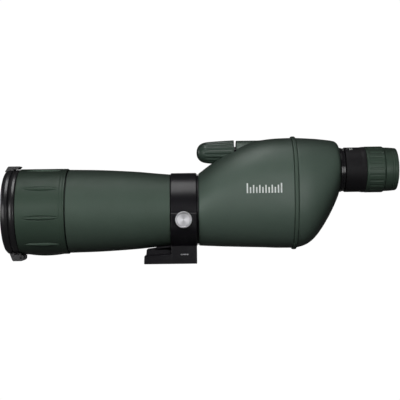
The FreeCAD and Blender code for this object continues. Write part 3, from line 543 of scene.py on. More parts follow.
def turned_metal(name, base, rough, centre, marks, metallic, aniso):
    """Metal faced on a lathe about a Y line through centre; marks is the ring frequency."""
    material, nodes, surface = new_material(name)
    place = nodes.coords()
    offset = nodes.vector("SUBTRACT", place, centre)[0]
    radial = nodes.vector("MULTIPLY", offset, (1, 0, 1))[0]
    distance = nodes.vector("LENGTH", radial)["Value"]
    rings = nodes.add("CombineXYZ", {0: nodes.math("MULTIPLY", distance, marks)}).outputs[0]
    ring_noise = nodes.noise(rings, scale=1.0, detail=2, rough=0.6)
    # two light and two dark fans painted into the colour: the hourglass highlight that a faced disc
    # shows in light
    parts = nodes.add("SeparateXYZ", {0: radial}).outputs
    angle = nodes.math("ARCTAN2", parts[2], parts[0])
    painted_fan_highlight = nodes.math("COSINE", nodes.math("MULTIPLY", angle, 2.0))
    painted_fan_highlight = nodes.remap(painted_fan_highlight, source=(-1, 1))
    nodes.set(surface, {
        "Metallic": metallic,
        "Base Color": nodes.mix(painted_fan_highlight, shade(base, 0.68), shade(base, 1.12)),
        "Roughness": metal_roughness(nodes, place, rough),
        "Normal": nodes.bump(ring_noise, strength=0.8, depth=0.05),
        "Anisotropic": aniso})
    return material


def glass(name, tint, coat, rough):
    """Clear glass whose colour moves from tint to coat at glancing view."""
    material, nodes, surface = new_material(name)
    facing = nodes.add("LayerWeight", {"Blend": 0.35}).outputs["Facing"]
    haze = nodes.noise(nodes.coords(), scale=0.05, detail=2, rough=0.5)
    nodes.set(surface, {"Base Color": (*tint, 1)})
    nodes.set(surface, {
        "Base Color": nodes.mix(facing, tint, coat),
        "Transmission Weight": 1.0,
        "IOR": 1.52,
        "Roughness": nodes.remap(haze, target=(rough, rough + 0.02)),
        "Coat Weight": 0.6,
        "Coat Tint": (*coat, 1)})
    return material


# ---------------------------------------------------------------------------
# materials
# ---------------------------------------------------------------------------
GREEN_RUBBER = rubber("green_rubber", dark=(0.053, 0.078, 0.0605), light=(0.060, 0.088, 0.069),
                      rough=0.50, spec=0.24, relief=0.22)
# darker rubber: on the sunshade grip it is the rubber's own colour; on the zoom grip and eyecup the
# darkness is painted shade falling off towards the eyepiece end
DARK_RUBBER_AND_EYEPIECE_SHADE = rubber("green_rubber_dark_and_shade", dark=(0.035, 0.057, 0.041),
                     light=(0.041, 0.065, 0.048), rough=0.38, spec=0.27, relief=0.22)
SHELL = rubber("green_armour_shell", dark=(0.063, 0.092, 0.073), light=(0.069, 0.100, 0.080),
               rough=0.42, spec=0.44, grain=2.2, relief=0.20)
# darker than the barrel rubber: its colour is painted shade from the housing channel round the
# focus knob; its gloss is its own
KNOB_PAINTED_SHADE_RUBBER = rubber("knob_rubber", dark=(0.034, 0.053, 0.041), light=(0.040, 0.061, 0.048),
                     rough=0.33, spec=0.36, relief=0.20)
COLLAR_PAINT = paint("black_satin_paint", base=(0.0062, 0.0056, 0.0078), rough=0.31, spec=0.44,
                     peel_strength=0.025, wear_colour=(0.05, 0.05, 0.052))
MOULDING = paint("black_moulding", base=(0.0075, 0.0075, 0.0088), rough=0.32, spec=0.95,
                 peel=1.6, peel_strength=0.04, wear_colour=(0.03, 0.03, 0.031))
RING_PAINT = paint("black_ring_paint", base=(0.010, 0.0095, 0.011), rough=0.20, peel=1.2,
                   peel_strength=0.03, wear_colour=(0.05, 0.05, 0.052))
RING_SATIN = paint("black_ring_satin", base=(0.0085, 0.008, 0.0092), rough=0.58, spec=0.28,
                   peel=1.6, peel_strength=0.14)
ANODISED = paint("black_anodised", base=(0.018, 0.018, 0.020), rough=0.5, peel=3.0,
                 peel_strength=0.2, wear_colour=(0.3, 0.3, 0.31))
TURNED_ALLOY = turned_metal("turned_alloy", base=(0.86, 0.855, 0.89), rough=0.42,
                            centre=(0, 0, LOCK_Z), marks=4.0, metallic=0.86, aniso=0.35)
PIN_STEEL = brushed_metal("blackened_steel", base=(0.030, 0.030, 0.032), rough=0.45,
                          stretch=(0.2, 3.0, 3.0))
BRIGHT_STEEL = brushed_metal("bright_steel", base=(0.56, 0.56, 0.58), rough=0.28,
                             stretch=(0.2, 3.0, 3.0), aniso=0.2)
BRASS = brushed_metal("turned_brass", base=(0.70, 0.52, 0.24), rough=0.3,
                      stretch=(3.0, 0.3, 0.3))
LENS = glass("coated_lens", tint=(0.86, 0.93, 0.9), coat=(0.30, 0.62, 0.42), rough=0.01)
EYE_LENS = glass("coated_eye_lens", tint=(0.86, 0.9, 0.93), coat=(0.35, 0.4, 0.75), rough=0.01)
PRISM = glass("prism_glass", tint=(0.92, 0.95, 0.93), coat=(0.8, 0.9, 0.85), rough=0.02)
NYLON = paint("nylon", base=(0.6, 0.59, 0.55), rough=0.5, wear_colour=(0.75, 0.74, 0.7))
BLACK_RUBBER = rubber("black_rubber", dark=(0.010, 0.010, 0.010), light=(0.015, 0.015, 0.015),
                      rough=0.6)
WHITE_PRINT = paint("white_print", base=(0.82, 0.86, 0.83), rough=0.55, peel=3.0,
                    wear_colour=(0.5, 0.55, 0.52))
GREY_PRINT = paint("grey_print", base=(0.42, 0.42, 0.44), rough=0.55, peel=3.0,
                   wear_colour=(0.4, 0.4, 0.4))

SLOT_MATERIALS = {
    "green_armour": GREEN_RUBBER, "green_shell": SHELL, "black_plastic": MOULDING,
    "black_alloy": COLLAR_PAINT, "black_anodised": ANODISED, "silver_alloy": TURNED_ALLOY,
    "steel": BRIGHT_STEEL, "brass": BRASS, "optical_glass": LENS, "prism_glass": PRISM,
    "nylon": NYLON, "black_rubber": BLACK_RUBBER}
PIECE_MATERIALS = {"eye_lens": EYE_LENS, "cover_hinge_pin": PIN_STEEL}


def dress_frame():
    """Gives every CAD piece its material and smooth shading."""
    slots = {part["node"]: part["material_slot"] for part in frame["record"]["subparts"]}
    for name, obj in frame["nodes"].items():
        material = PIECE_MATERIALS.get(name) or SLOT_MATERIALS[slots[name]]
        obj.data.materials.clear()
        obj.data.materials.append(material)
        obj.data.polygons.foreach_set("use_smooth", [True] * len(obj.data.polygons))
        obj.data.set_sharp_from_angle(angle=math.radians(28))


# ---------------------------------------------------------------------------
# objective cover
# ---------------------------------------------------------------------------
def cover_lid():
    lathe("lid_disc",
          [(LID_X0 + 1.2, 0.0), (LID_X0 + 1.2, 30.5, 1.0), (LID_X0, 32.0, 0.8),
           (LID_X0, 36.2, 1.0), (LID_X0 + 1.5, 37.9, 1.5), (LID_X0 + 3.8, 38.35, 2.6),
           (LID_X1 - 0.8, 38.0, 0.9), (LID_X1, 37.2, 0.3), (LID_X1, 33.0, 0.1),
           (LID_X1 + 1.5, 32.8, 0.4), (LID_X1 + 1.5, 31.2, 0.4), (LID_X1 - 1.5, 31.0, 0.4),
           (LID_X1 - 1.5, 0.0)],
          AXIS_Z, MOULDING, "cover_lid", "cover_lid", segments=192)
    latch = from_axis(
        [(LID_X0 - 1.2, 36.0, 0.5), (LID_X0 + 1.5, 40.4, 0.8), (LID_X0 + 2.3, 41.2, 0.8),
         (-147.2, 41.2, 0.35), (-149.6, 38.62, 0.3), (LID_X1 - 0.05, 38.62, 0.1),
         (LID_X1 - 0.05, 36.0, 0.2)])
    slab("lid_latch_tab", latch, -6.5, 6.5, MOULDING, "cover_lid", slot="black_plastic",
         bevel=0.45)


def lid_ears():
    """Two ears that reach down from the lid and round the hinge pin."""
    ear_radius = 2.9
    turns = [-PI / 2 + PI * j / 12 for j in range(13)]
    eye = [(PIN_X + ear_radius * math.cos(a), PIN_Z + ear_radius * math.sin(a)) for a in turns]
    outline = (from_axis([(-157.4, -35.0, 0.3), (-157.4, -38.0, 0.8), (-155.3, -43.4, 0.8),
                          (-154.4, -44.3, 0.6)])
               + eye + from_axis([(LID_X1, -38.6, 0.2), (LID_X1, -35.0, 0.2)]))
    for k, (y0, y1) in enumerate(((-8.5, -5.1), (5.1, 8.5))):
        slab("lid_ear_%d" % (k + 1), outline, y0, y1, MOULDING, "cover_lid",
             slot="black_plastic", bevel=0.35)


def cover_ring():
    lathe("cover_ring_band",
          [(LID_X1 + 0.1, 34.5, 0.2), (LID_X1 + 0.1, RING_RADIUS - 0.7, 0.4),
           (LID_X1 + 1.3, RING_RADIUS, 1.2), (LID_X1 + 2.9, RING_RADIUS + 0.2, 2.0),
           (RING_X1 - 1.1, RING_RADIUS, 1.2), (RING_X1, RING_RADIUS - 0.7, 0.4),
           (RING_X1, 35.93, 0.1), (-144.0, 35.93, 0.3), (-144.0, 34.5, 0.2)],
          AXIS_Z, MOULDING, "sunshade", "cover_ring", segments=192)
    lug = from_axis(
        [(-153.0, -36.6, 0.3), (-153.0, -39.4, 0.8), (-151.4, -44.2, 1.0), (-146.2, -44.2, 1.0),
         (-143.6, -39.25, 0.4), (RING_X1, -39.25, 0.1), (RING_X1, -36.6, 0.2)])
    slab("cover_ring_lug", lug, -4.9, 4.9, MOULDING, "sunshade", slot="black_plastic",
         bevel=0.35)


# ---------------------------------------------------------------------------
# sunshade and barrel
# ---------------------------------------------------------------------------
def leaf_ribs(x, radius, angles):
    """Raises the leaf ribs, with a fine groove along each rib's edge."""
    radii = np.full(len(angles), radius)
    if radius < SHADE_RADIUS - 0.001 or not (-146.3 < x < -109.3):
        return radii
    section = LEAF_RADIUS * (1 - ((x - LEAF_X) / LEAF_HALF_LENGTH) ** 2)
    if section <= 0.66:
        return radii
    edge = math.sqrt(section * section - LEAF_SUNK ** 2)
    groove_depth = 0.34 * min(1.0, (section - 0.66) / 0.35)
    for leaf_angle in LEAF_ANGLES:
        across = wrap_angle(angles - leaf_angle) * SHADE_RADIUS
        height = np.sqrt(np.maximum(section * section - across * across, 0)) - LEAF_SUNK
        rise = np.where(np.abs(across) < section,
                        soft_max(height, np.zeros_like(height), 0.3), 0.0)
        groove = groove_depth * np.exp(-((np.abs(across) - edge - 0.12) / 0.36) ** 2)
        radii = np.where(np.abs(across) < 2.9, radius + rise - groove, radii)
    return radii


def sunshade_sleeve():
    angles = []
    for leaf_angle in sorted(LEAF_ANGLES):      # fine over each rib, coarse between ribs
        angles += list(leaf_angle + np.radians(np.linspace(-4.6, 4.6, 39)))
        angles += list(leaf_angle + np.radians(np.linspace(4.6, 35.4, 18)[1:-1]))
    profile = [(SHADE_X0 + 0.1, SHADE_BORE + 0.01, 0.1), (SHADE_X0 + 0.1, SHADE_RADIUS, 0.6)]
    profile += [(x, SHADE_RADIUS) for x in np.linspace(-146.2, -109.4, 78)]
    # a low band between two shallow steps, then the back end
    profile += [
        (-109.2, SHADE_RADIUS, 0.3), (-108.8, SHADE_RADIUS - 0.2, 0.2),
        (-108.4, SHADE_RADIUS - 0.02, 0.2), (-106.7, SHADE_RADIUS - 0.02, 0.2),
        (-106.3, SHADE_RADIUS - 0.2, 0.2), (-105.9, SHADE_RADIUS - 0.03, 0.2),
        (SHADE_X1 - 0.2, SHADE_RADIUS - 0.03, 0.7), (SHADE_X1 - 0.2, SHADE_BORE + 0.01, 0.1)]
    lathe("sunshade_sleeve", profile, AXIS_Z, DARK_RUBBER_AND_EYEPIECE_SHADE, "sunshade",
          "sunshade_grip", angles=sorted_turn(angles), reshape=leaf_ribs, sharp=50)


def barrel_armour():
    table_x, table_radius = zip(*ARMOUR)
    first_x, last_x = table_x[0], table_x[-1]
    first_radius, last_radius = table_radius[0], table_radius[-1]
    stations = np.linspace(first_x, last_x, 90)
    radii = (monotone_cubic(table_x, table_radius, stations) * 0.5
             + natural_cubic(table_x, table_radius, stations) * 0.5)
    profile = [(first_x, 35.7, 0.2), (first_x, first_radius - 0.02, 0.8)]
    profile += list(zip(stations[2:-2], radii[2:-2]))
    profile += [(last_x + 0.25, last_radius, 0.5), (last_x + 0.25, 31.0, 0.2)]
    inside = list(zip(stations[::6], radii[::6]))[1:-1]
    profile += [(x, min(35.61, radius - 1.85)) for x, radius in reversed(inside)]
    lathe("barrel_rubber", profile, AXIS_Z, GREEN_RUBBER, "scope_body",
          "barrel_armour", segments=224)


# ---------------------------------------------------------------------------
# tripod collar and foot
# ---------------------------------------------------------------------------
def collar_rings():
    lathe("journal_ring", [(11.95, 30.97, 0.1), (11.95, 32.0, 0.2), (12.8, 32.2, 0.1),
                           (12.8, 30.97, 0.1)],
          AXIS_Z, COLLAR_PAINT, "scope_body", segments=192)
    lathe("collar_ring",
          [(-COLLAR_HALF, 31.65, 0.2), (-COLLAR_HALF, COLLAR_RADIUS - 0.7, 0.3),
           (-COLLAR_HALF + 0.7, COLLAR_RADIUS, 0.5), (COLLAR_HALF - 0.7, COLLAR_RADIUS, 0.5),
           (COLLAR_HALF, COLLAR_RADIUS - 0.7, 0.3), (COLLAR_HALF, 31.65, 0.2)],
          AXIS_Z, COLLAR_PAINT, "collar_mount", "tripod_collar", segments=224)


def lock_boss():
    """Stands on the ring's -Y side; its flat outer face carries the lock knob."""
    top, low = AXIS_Z - 2.2, AXIS_Z - 31.8
    face_y = -36.4
    half_length = COLLAR_HALF - 0.5
    inner = []                  # follows a circle just outside the ring's bore
    for k in range(13):
        z = low + (top - low) * k / 12
        inner.append((-math.sqrt(max(31.9 ** 2 - (z - AXIS_Z) ** 2, 36.0)), z))
    outer = [(face_y, top, 1.5), (face_y, AXIS_Z - 19.8, 11.0),
             (-FOOT_HALF_WIDTH - 1.0, low, 0.5)]
    outline = rounded([inner[-1]] + outer + [inner[0]], closed=False) + inner[1:-1]
    verts = [(x, y, z) for x in (-half_length, half_length) for y, z in outline]
    add_bevelled("collar_lock_boss", verts, prism_faces(len(outline)), COLLAR_PAINT,
                 "collar_mount", slot="black_alloy")


def foot_block():
    """Block under the ring with a round pocket in its underside at the origin."""
    around = 48
    circle, edge = [], []
    for k in range(around):
        angle = 2 * PI * k / around
        cosine, sine = math.cos(angle), math.sin(angle)
        circle.append((SCREW_RADIUS * cosine, SCREW_RADIUS * sine))
        reach = min((FOOT_HEEL_X if cosine > 0 else COLLAR_HALF) / max(abs(cosine), 1e-9),
                    FOOT_HALF_WIDTH / max(abs(sine), 1e-9))
        edge.append((cosine * reach, sine * reach))
    # move the nearest edge points onto the true corners
    for x, y in ((-COLLAR_HALF, -FOOT_HALF_WIDTH), (FOOT_HEEL_X, -FOOT_HALF_WIDTH),
                 (FOOT_HEEL_X, FOOT_HALF_WIDTH), (-COLLAR_HALF, FOOT_HALF_WIDTH)):
        nearest = min(range(around), key=lambda i: (edge[i][0] - x) ** 2 + (edge[i][1] - y) ** 2)
        edge[nearest] = (x, y)
    levels = ((circle, SCREW_DEPTH), (circle, 0.0), (edge, 0.0), (edge, FOOT_TOP_Z))
    verts = [(x, y, z) for loop, z in levels for x, y in loop]
    faces = [tuple(range(around))] + ring_faces(4, around, closed=False)
    faces.append(tuple(reversed(range(3 * around, 4 * around))))
    add_bevelled("foot_block", verts, faces, COLLAR_PAINT, "collar_mount", slot="black_alloy",
                 bevel=0.55)


def foot_toe():
    """Toe plate in front of the block, with a spine on top and a low lip along each side."""
    join_x = -COLLAR_HALF + 0.9
    spine_half = 8.0
    style = dict(material=COLLAR_PAINT, body="collar_mount", slot="black_alloy")
    toe = [(FOOT_TOE_X, 0.0, 0.8), (join_x, 0.0), (join_x, AXIS_Z - 39.1),
           (FOOT_TOE_X + 0.3, AXIS_Z - 40.8, 0.8)]
    slab("foot_toe", toe, -FOOT_HALF_WIDTH + 0.02, FOOT_HALF_WIDTH - 0.02, bevel=0.6, **style)
    spine = from_axis([(FOOT_TOE_X + 1.4, -43.0), (FOOT_TOE_X + 2.2, -35.3, 0.8),
                       (-24.5, -34.0, 2.0), (join_x, -32.95), (join_x, -43.0)])
    slab("foot_spine", spine, -spine_half, spine_half, bevel=0.6, **style)
    lip = from_axis([(-26.5, -36.0), (-26.0, -34.0, 0.4), (-24.4, -33.25, 0.8),
                     (-21.8, -32.85, 1.0), (-12.4, -31.95, 0.3), (join_x, -31.95),
                     (join_x, -36.0)])
    for k, (y0, y1) in enumerate(((-spine_half, -6.6), (6.6, spine_half))):
        slab("foot_spine_lip_%d" % (k + 1), lip, y0, y1, bevel=0.25, **style)


def foot_dashes():
    """Three short printed dashes on the foot's -Y side."""
    for k, (x0, x1) in enumerate(((-3.4, -1.5), (-1.0, 1.4), (1.9, 3.5))):
        outline = from_axis([(x0, -40.2), (x1, -40.2), (x1, -39.3), (x0, -39.3)])
        slab("foot_dash_%d" % (k + 1), outline, -FOOT_HALF_WIDTH - 0.06, -FOOT_HALF_WIDTH + 0.2,
             GREY_PRINT, "collar_mount", bevel=0.02, segments=1)


def lock_knob():
    """Turned about a line parallel to Y, with 36 shallow flutes round the rim."""
    angles = np.linspace(0, 2 * PI, 288, endpoint=False)
    around = len(angles)
    # y, radius, fillet
    profile = rounded(
        [(LOCK_FACE_Y, 0.0), (LOCK_FACE_Y, LOCK_RADIUS - 1.9, 0.35),
         (-45.9, LOCK_RADIUS - 1.2, 0.25), (-45.9, LOCK_RADIUS - 0.45, 0.35),
         (-45.2, LOCK_RADIUS, 0.4), (-44.6, LOCK_RADIUS, 0.1), (-38.3, LOCK_RADIUS, 0.1),
         (-37.6, LOCK_RADIUS, 0.4), (-37.1, LOCK_RADIUS - 0.6, 0.3), (-37.1, LOCK_BORE, 0.1),
         (LOCK_POCKET_Y, LOCK_BORE, 0.1), (LOCK_POCKET_Y, 0.0)], closed=False)
    rings = [p for p in profile if p[1] > 1e-6]
    verts = []
    for y, radius in rings:
        radii = np.full(around, radius)
        if -44.7 < y < -38.2 and radius > LOCK_RADIUS - 0.1:
            radii = radius - 0.32 * (0.5 - 0.5 * np.cos(36 * angles)) ** 1.5
        verts.append(np.stack([radii * np.cos(angles), np.full(around, y),
                               LOCK_Z + radii * np.sin(angles)], 1))
    verts = np.vstack(verts + [[0, LOCK_FACE_Y, LOCK_Z], [0, LOCK_POCKET_Y, LOCK_Z]])
    knob = add_mesh("lock_knob_turned", verts, capped_faces(len(rings), around), TURNED_ALLOY,
                    "lock_knob", sharp=40)
    declare(knob, "lock_knob")


# ---------------------------------------------------------------------------
# prism housing. A row is (x, centre over the objective axis, radius at each angle)
# ---------------------------------------------------------------------------
# fine steps near the top, where the focus channel and boss are
HOUSING_ANGLES = sorted_turn(np.concatenate([np.radians(np.arange(24, 336, 2.0)),
                                             np.radians(np.arange(-24, 24, 0.6))]))
HOUSING_SIN, HOUSING_COS = np.sin(HOUSING_ANGLES), np.cos(HOUSING_ANGLES)


def section(x):
    """Centre height, half height, half width and exponent of the housing at x."""
    table_x, *columns = zip(*HOUSING)
    low, high, width, power = (monotone_cubic(table_x, column, x) for column in columns)
    return (low + high) / 2, (high - low) / 2, width, power


def body_radius(x):
    centre, height, width, power = section(x)
    return centre, (np.abs(HOUSING_SIN / width) ** power
                    + np.abs(HOUSING_COS / height) ** power) ** (-1.0 / power)


def channel_radius(x):
    """Housing with the channel for the focus knob cut into its top."""
    centre, radius = body_radius(x)
    rise = FOCUS_RISE - centre
    share = np.abs(wrap_angle(HOUSING_ANGLES)) / math.asin(min(0.999, CHANNEL_RADIUS / rise))
    half_chord = np.sqrt(np.maximum(CHANNEL_RADIUS ** 2 - (rise * HOUSING_SIN) ** 2, 0))
    near = rise * HOUSING_COS - half_chord
    tangent = math.sqrt(rise * rise - CHANNEL_RADIUS ** 2)
    wall = (tangent + (radius - tangent) * smooth_step(1.0, 1.16, share)
            + 3.0 * smooth_step(1.05, 1.3, share))
    channel = np.where((share < 1.0) & (HOUSING_COS > 0), near, wall)
    channel = np.where(share > 1.3, 1e3, channel)
    return centre, soft_min(radius, channel, 0.7)


def boss_radius(x):
    """Housing with the boss behind the focus knob, which fades out towards the back."""
    centre, radius = body_radius(x)
    rise = FOCUS_RISE - centre
    fillet = 0.8
    short = max(fillet - (x - FOCUS_BOSS_X0), 0)
    boss = FOCUS_BOSS_RADIUS - (fillet - math.sqrt(max(fillet ** 2 - short ** 2, 0)))
    across = (rise * HOUSING_SIN) ** 2
    far = rise * HOUSING_COS + np.sqrt(np.maximum(boss ** 2 - across, 0))
    far = np.where((across < boss ** 2) & (HOUSING_COS > 0), far, 0)
    fade = 1 - smooth_step(64.0, 74.0, x)
    return centre, radius + (soft_max(radius, far, 1.6) - radius) * fade


def row(x, radius_at, inset=0.0):
    centre, radius = radius_at(x)
    return x, centre, radius - inset


def circle_row(x, centre, radius):
    return x, centre, np.full(len(HOUSING_ANGLES), radius)


def shell(name, rows, material, replaces, sharp=38):
    """Closed loop of rows, from the outside round to the inside."""
    verts = [np.stack([np.full(len(radius), x), radius * HOUSING_SIN,
                       AXIS_Z + centre + radius * HOUSING_COS], 1)
             for x, centre, radius in rows]
    obj = add_mesh(name, np.concatenate(verts), ring_faces(len(rows), len(HOUSING_ANGLES)),
                   material, "scope_body", sharp)
    declare(obj, replaces)


def front_housing():
    centre, radius = channel_radius(HOUSING_X0)
    rows = [circle_row(HOUSING_X0, centre, HOUSING_BORE), (HOUSING_X0, centre, radius - 0.9),
            (13.3, centre, radius - 0.5), row(13.6, channel_radius, 0.12)]
    channel_x = np.concatenate([np.arange(14.0, 47.2, 0.7), [47.4, 47.76]])
    rows += [row(x, channel_radius) for x in channel_x.tolist()]
    boss_x = np.concatenate([[47.8, 47.9, 48.05, 48.3, 48.6, 49.0], np.arange(49.8, 96.4, 1.1)])
    rows += [row(x, boss_radius) for x in boss_x.tolist()]
    # the back edge turns in
    rows += [row(x, boss_radius, inset)
             for x, inset in ((96.6, 0.0), (97.0, 0.06), (97.2, 0.22), (97.28, 0.5))]
    # inside wall; over the boss it follows the plain body, further forward the channel
    for x in (97.28, 90.0, 80.0, 70.0, 62.0, 56.0, 50.0, 44.0, 36.0, 28.0, 21.0, 16.5):
        centre, radius = body_radius(x)
        if x <= 50.0:
            radius = np.minimum(radius, channel_radius(min(x, 47.0))[1])
        rows.append((x, centre, radius - HOUSING_WALL))
    rows.append(circle_row(15.9, section(15.9)[0], HOUSING_BORE - 1.5))
    rows.append(circle_row(15.9, section(HOUSING_X0)[0], HOUSING_BORE - 0.1))
    shell("housing_front_shell", rows, SHELL, "front_housing")


def rear_housing():
    front_x = SEAM_X1 + 0.02
    rows = [row(front_x + step, body_radius, inset)
            for step, inset in ((0.0, 0.9), (0.08, 0.5), (0.3, 0.18), (0.7, 0.03))]
    outer_x = np.concatenate([np.arange(102.2, 136.0, 0.9),
                              np.arange(136.2, REAR_LAST_X, 0.22)])
    rows += [row(x, body_radius) for x in outer_x.tolist()]
    centre, radius = body_radius(REAR_LAST_X)
    rows.append((REAR_FACE_X, centre, radius - 0.5))
    # flat back face and the round seat of the eyepiece
    rows += [circle_row(x, EYE_RISE, radius)
             for x, radius in ((REAR_FACE_X, 18.6), (REAR_FACE_X, 16.1), (137.6, 16.1))]
    inside = ((136.9, 4.5), (134.0, 3.4), (130.0, 3.0), (125.0, 2.9), (120.0, 2.8),
              (114.0, 2.7), (108.0, HOUSING_WALL), (front_x, HOUSING_WALL))
    rows += [row(x, body_radius, wall) for x, wall in inside]
    shell("housing_rear_shell", rows, SHELL, "rear_cover")


def seam_bead():
    """Raised band over the joint between the two housing shells."""
    # x, height over the housing
    bead = ((97.32, -2.5), (97.32, 0.5), (97.42, 0.85), (97.65, 1.15), (98.0, 1.32),
            (98.6, 1.38), (99.6, 1.38), (100.2, 1.32), (100.55, 1.15), (100.78, 0.85),
            (100.88, 0.5), (100.88, -2.5))
    rows = []
    for x, height in bead:
        centre, radius = body_radius(SEAM_X0 + 0.3 * (x - SEAM_X0))
        rows.append((x, centre, radius + height))
    shell("housing_seam_bead", rows, GREEN_RUBBER, "seam_bead", sharp=40)


def on_body(x, height, lift):
    """Point on the housing's -Y side at a height over the objective axis, lifted off it."""
    centre, half_height, width, power = section(x)
    y = -width * (1 - abs((height - centre) / half_height) ** power) ** (1 / power)
    return float(x), float(y) - lift, AXIS_Z + height


def body_ticks():
    """Row of printed ticks on the housing's -Y side."""
    count, first_x, last_x = 12, 55.9, 85.6
    half_width, low = 0.62, 14.2
    columns, rows = 3, 5
    for k in range(count):
        tick_x = first_x + (last_x - first_x) * k / (count - 1)
        tall = 8.6 if k in (0, count - 1) else (7.0 if k % 2 == 0 else 5.2)
        x0, x1, high = tick_x - half_width, tick_x + half_width, low + tall
        verts = [on_body(x0 + (x1 - x0) * i / columns, low + (high - low) * j / rows, lift)
                 for lift in (0.07, -0.12)
                 for i in range(columns + 1) for j in range(rows + 1)]
        add_mesh("body_tick_%02d" % (k + 1), verts, sheet_faces(columns, rows), WHITE_PRINT,
                 "scope_body", sharp=60, weighted=False)


# ---------------------------------------------------------------------------
# focus knob
# ---------------------------------------------------------------------------
def focus_flutes(x, radius, angles):
    if radius < 8.6:
        return np.full(len(angles), radius)
    fade = (smooth_step(FOCUS_X0 + 6.5, FOCUS_X0 + 11.0, x)
            * (1 - smooth_step(FOCUS_X1 - 1.6, FOCUS_X1 - 0.9, x)))
    wave = 0.5 - 0.5 * np.cos(FLUTES * angles)
    return radius - 0.62 * fade * wave ** 1.6


def focus_knob():
    # rounded nose and taper: distance behind the knob's tip, radius
    nose = [(0.0, 0.0), (0.35, 2.9), (1.4, 5.4), (3.2, 7.4), (5.6, 8.75), (8.6, 9.5),
            (13.0, 9.95), (20.0, 10.4), (27.0, 10.75), (33.2, FOCUS_RADIUS)]
    depths, radii = np.array(nose).T
    travel = np.concatenate([[0], np.cumsum(np.hypot(np.diff(depths), np.diff(radii)))])
    stops = np.linspace(0, travel[-1], 70)
    curve = list(zip(natural_cubic(travel, depths, stops), natural_cubic(travel, radii, stops)))
    profile = [(FOCUS_X0, 0.0)] + [(FOCUS_X0 + depth, radius) for depth, radius in curve[1:-1]]
    profile += [(FOCUS_X1 - 0.9, FOCUS_RADIUS), (FOCUS_X1 - 0.05, FOCUS_RADIUS, 0.5),
                (FOCUS_X1, FOCUS_BORE, 0.2), (19.0, FOCUS_BORE, 0.2), (19.0, 0.0)]
    # the knob rubber's dark colour is painted shade from the channel round it
    lathe("focus_knob_rubber", profile, FOCUS_Z, KNOB_PAINTED_SHADE_RUBBER, "focus_knob",
          "focus_knob_grip", segments=FLUTES * 14, reshape=focus_flutes, sharp=50)
    lathe("focus_bushing_flange",
          [(46.22, 2.53, 0.02), (46.22, 5.0, 0.06), (FOCUS_BOSS_X0 + 0.02, 5.0, 0.02),
           (FOCUS_BOSS_X0 + 0.02, 2.53, 0.02)],
          FOCUS_Z, RING_PAINT, "scope_body", segments=96)


# ---------------------------------------------------------------------------
# eyepiece
# ---------------------------------------------------------------------------
def eyepiece_rings():
    lathe("eyepiece_base_ring",
          [(134.0, 14.0, 0.2), (134.0, 16.0, 0.2), (EYE_BASE_X0, 16.0, 0.1),
           (EYE_BASE_X0, 19.7, 0.3), (EYE_BASE_X0 + 0.7, 20.0, 0.3),
           (EYE_BASE_X0 + 2.2, 20.0, 0.3), (EYE_BASE_X0 + 2.6, EYE_BASE_WAIST, 0.2),
           (EYE_BASE_X1 - 0.8, EYE_BASE_WAIST, 0.3), (EYE_BASE_X1, 18.9, 0.3),
           (EYE_BASE_X1, 16.43, 0.2), (143.0, 16.43, 0.1), (143.0, 14.0, 0.1)],
          EYE_Z, RING_PAINT, "scope_body", "eyepiece_base")
    lathe("zoom_ring_body",
          [(ZOOM_X0, 17.65, 0.2), (ZOOM_X0, ZOOM_RADIUS, 0.6), (ZOOM_X1 - 4.2, ZOOM_RADIUS, 0.8),
           (ZOOM_X1 - 2.4, ZOOM_RADIUS + 0.35, 0.8), (ZOOM_X1 - 0.3, ZOOM_RADIUS + 0.4, 0.4),
           (ZOOM_X1, ZOOM_RADIUS - 0.1, 0.2), (ZOOM_X1, 18.7, 0.1),
           (ZOOM_GRIP_X1 - 0.2, 18.7, 0.2), (ZOOM_GRIP_X1 - 0.2, 17.65, 0.2)],
          EYE_Z, RING_SATIN, "zoom_ring", "zoom_ring")


def grip_channels(x, radius, angles):
    """24 shallow channels along the zoom grip."""
    if radius < ZOOM_GRIP_RADIUS - 0.05:
        return np.full(len(angles), radius)
    along = smooth_step(166.0, 166.8, x) * (1 - smooth_step(178.4, 179.2, x))
    off_channel = np.abs((np.degrees(angles) + 7.5) % 15.0 - 7.5)
    return radius - 0.34 * along * (1 - smooth_step(1.3, 2.8, off_channel))


def zoom_grip():
    # degrees from the middle of a channel
    across = np.radians([-4.2, -3.4, -2.9, -2.4, -1.9, -1.2, 0.0, 1.2, 1.9, 2.4, 2.9, 3.4, 4.2,
                         7.5])
    angles = sorted_turn(angle + math.radians(15.0 * k) for k in range(24) for angle in across)
    stations = (165.2, 165.9, 166.1, 166.3, 166.5, 166.8, 168.5, 171.0, 174.0, 176.6, 178.0,
                178.4, 178.7, 178.9, 179.2)
    profile = [(ZOOM_X1 + 0.05, 18.72, 0.1), (ZOOM_X1 + 0.05, ZOOM_GRIP_RADIUS - 0.5, 0.3),
               (ZOOM_X1 + 0.7, ZOOM_GRIP_RADIUS, 0.6)]
    profile += [(x, ZOOM_GRIP_RADIUS) for x in stations]
    profile += [(ZOOM_GRIP_X1 - 0.8, ZOOM_GRIP_RADIUS - 0.1, 0.5),
                (ZOOM_GRIP_X1 + 0.40, ZOOM_GRIP_RADIUS - 0.98, 0.06),
                (ZOOM_GRIP_X1 + 0.40, 18.72, 0.1)]
    # the zoom grip's darker rubber is painted shade towards the eyepiece end
    lathe("zoom_grip_rubber", profile, EYE_Z, DARK_RUBBER_AND_EYEPIECE_SHADE, "zoom_ring",
          "zoom_grip", angles=angles, reshape=grip_channels, sharp=50)


